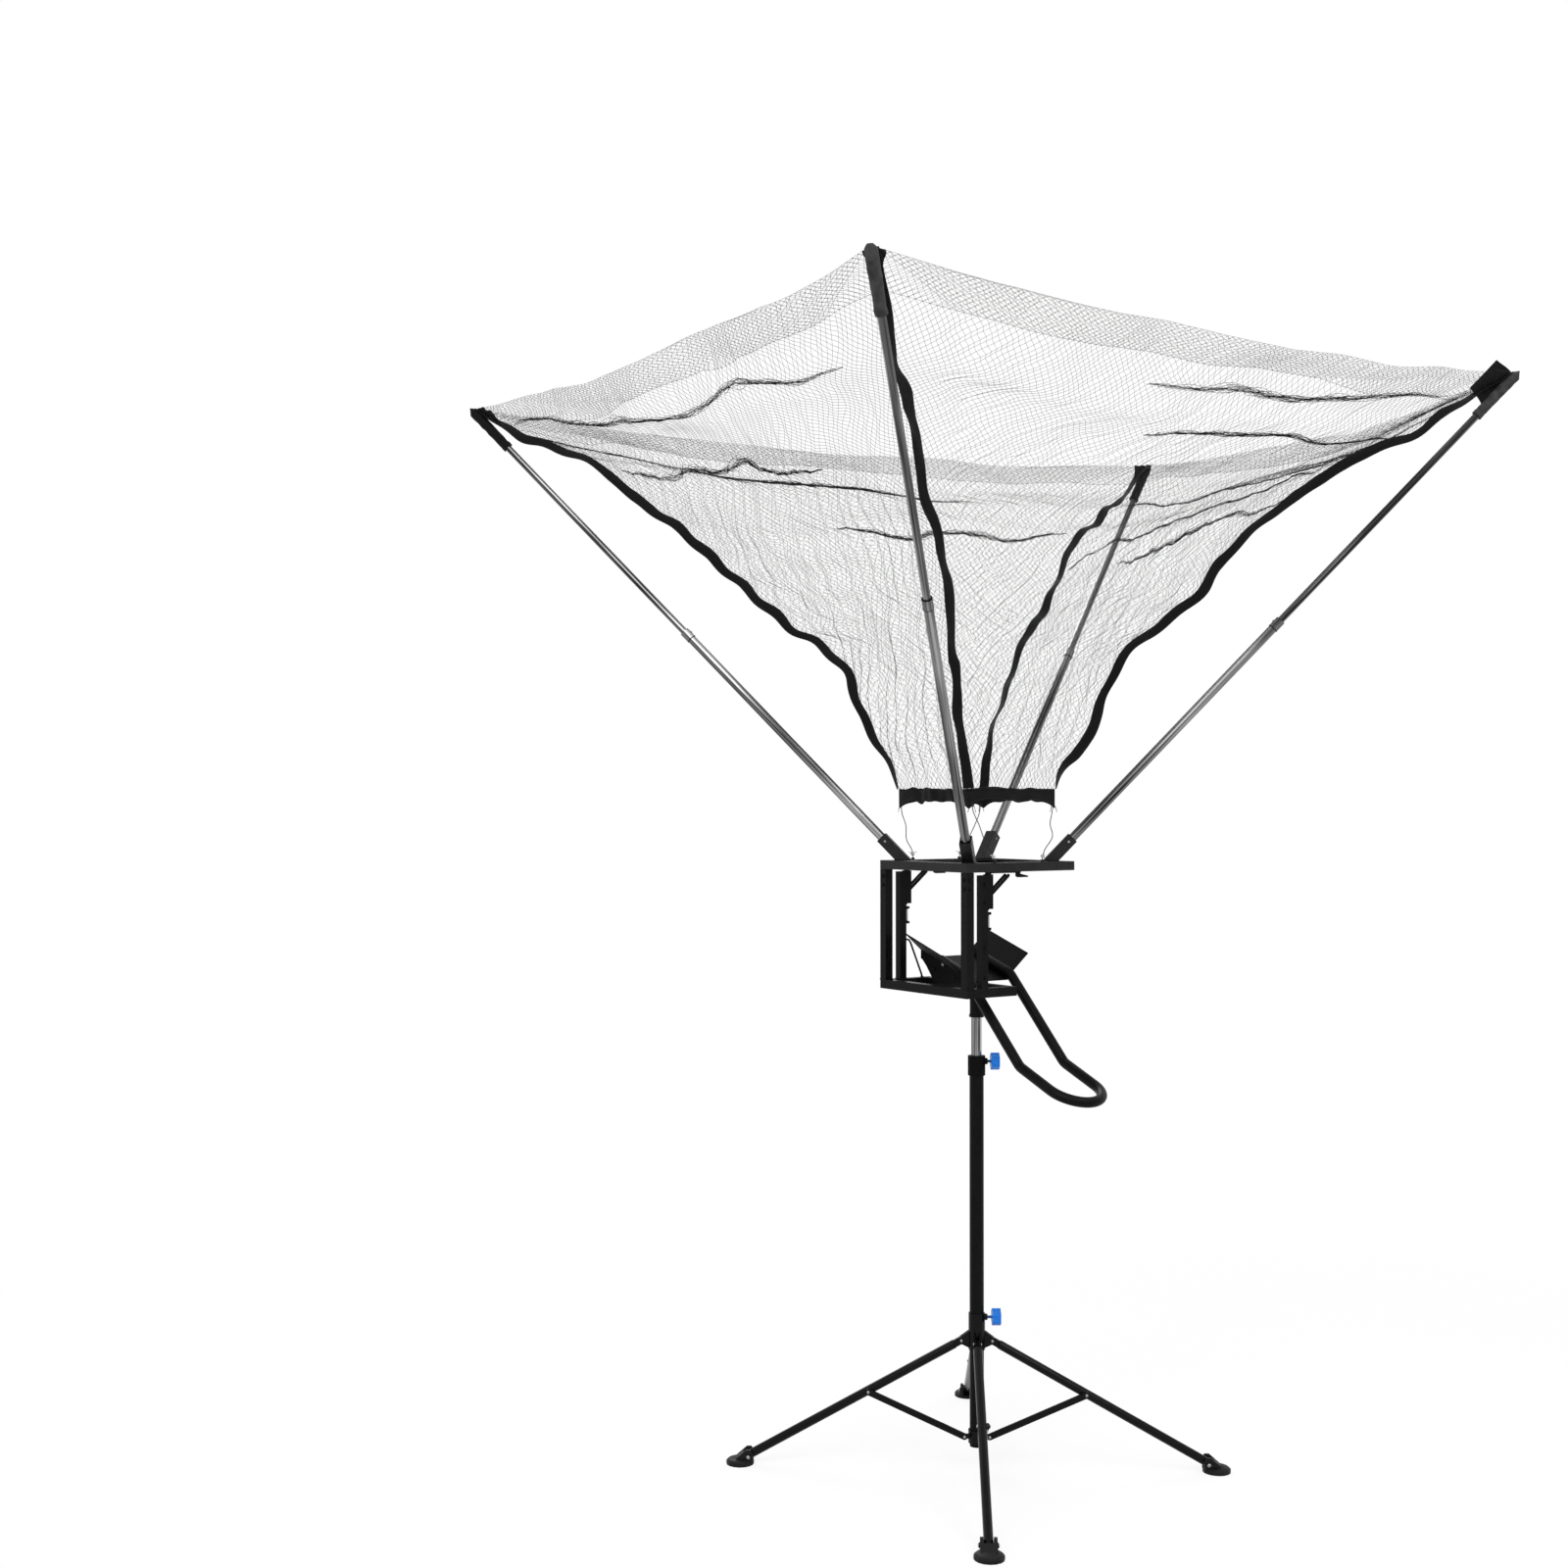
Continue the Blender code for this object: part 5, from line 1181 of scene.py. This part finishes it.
def add_lights():
    world = bpy.data.worlds.new("studio")
    bpy.context.scene.world = world
    world.use_nodes = True
    tree = world.node_tree
    back = tree.nodes["Background"]
    back.inputs["Color"].default_value = (1, 1, 1, 1)
    level = add_node(tree, "MapRange", {"Value": seen_ray(tree), "To Min": 0.55, "To Max": 1.0})
    tree.links.new(level.outputs["Result"], back.inputs["Strength"])
    for name, spot, size, power in LAMPS:
        lamp = bpy.data.lights.new(name, "AREA")
        lamp.shape = "SQUARE"
        lamp.size = size
        lamp.energy = power
        linked(name, lamp).matrix_world = facing(spot, Vector(spot) - LAMP_AIM)
    bpy.context.scene.view_settings.view_transform = "Standard"


def main():
    add_camera()
    yarn = twisted_yarn("net_yarn", 0.004, 0.016, 0.0016, 0.55)
    tie_yarn = twisted_yarn("tie_yarn", 0.010, 0.028, 0.0012, 0.60)
    pale_yarn = twisted_yarn("pale_yarn", 0.38, 0.62, 0.0012, 0.55)
    for name in CORNERS:
        add_tie(name, tie_yarn, pale_yarn)

    coat = powder_coat("powder_black", 0.0020, 0.0065, 0.30, 0.46, 0.07)
    gloss = powder_coat("powder_gloss", 0.0012, 0.0040, 0.14, 0.24, 0.12)
    matt = powder_coat("powder_matt", 0.0018, 0.0055, 0.48, 0.66, 0.05)
    # The top frame's coat is a lighter copy of the black powder coat: painted light, where light from above
    # falls on the frame.
    painted_light_coat = powder_coat("powder_painted_light", 0.0060, 0.0180, 0.34, 0.50, 0.16)
    zinc = bright_zinc()
    knob = knob_plastic(radians(-34))
    tape = woven("webbing_tape", 0.0015, 0.006, 0.016, WEBBING_WIDTH)
    hem_tape = woven("hem_tape", 0.0015, 0.006, 0.016, HEM_TOP - HEM_FOOT)
    sleeve = woven("sleeve_cloth", 0.020, 0.060, 0.10)
    surfaces = {"mast_tube": chrome_plate(), "latch_pin": zinc, "mast_knob": knob, "hub_knob": knob,
                "foot_": moulded_plastic(), "leg_": gloss, "brace_": gloss, "chute_trough": matt,
                "clamp_collar": matt, "top_frame": painted_light_coat, "default": coat}
    for name in CORNERS:
        pole = brushed_aluminium(f"aluminium_{name}", pole_place(name))
        surfaces[f"lower_pole_{name}"] = surfaces[f"upper_pole_{name}"] = pole
    finish_nodes(surfaces)

    around = ["front_left", "back_left", "back_right", "front_right"]
    for at, name in enumerate(around):
        webbing, length = add_webbing(name, tape)
        pocket = add_pocket(name, sleeve if name.startswith("front") else tape)
        patch = add_patch(name, (around[at - 1], around[(at + 1) % 4]), tape)
    hem, length = add_hem(hem_tape)
    for name in PANELS:
        add_net(name, yarn)
    add_leg_rivets(zinc)
    add_head_hardware(zinc, coat)
    add_canopy_hardware(zinc, coat)
    add_rail(coat)
    add_floor()
    add_lights()


main()
bpy.context.view_layer.update()
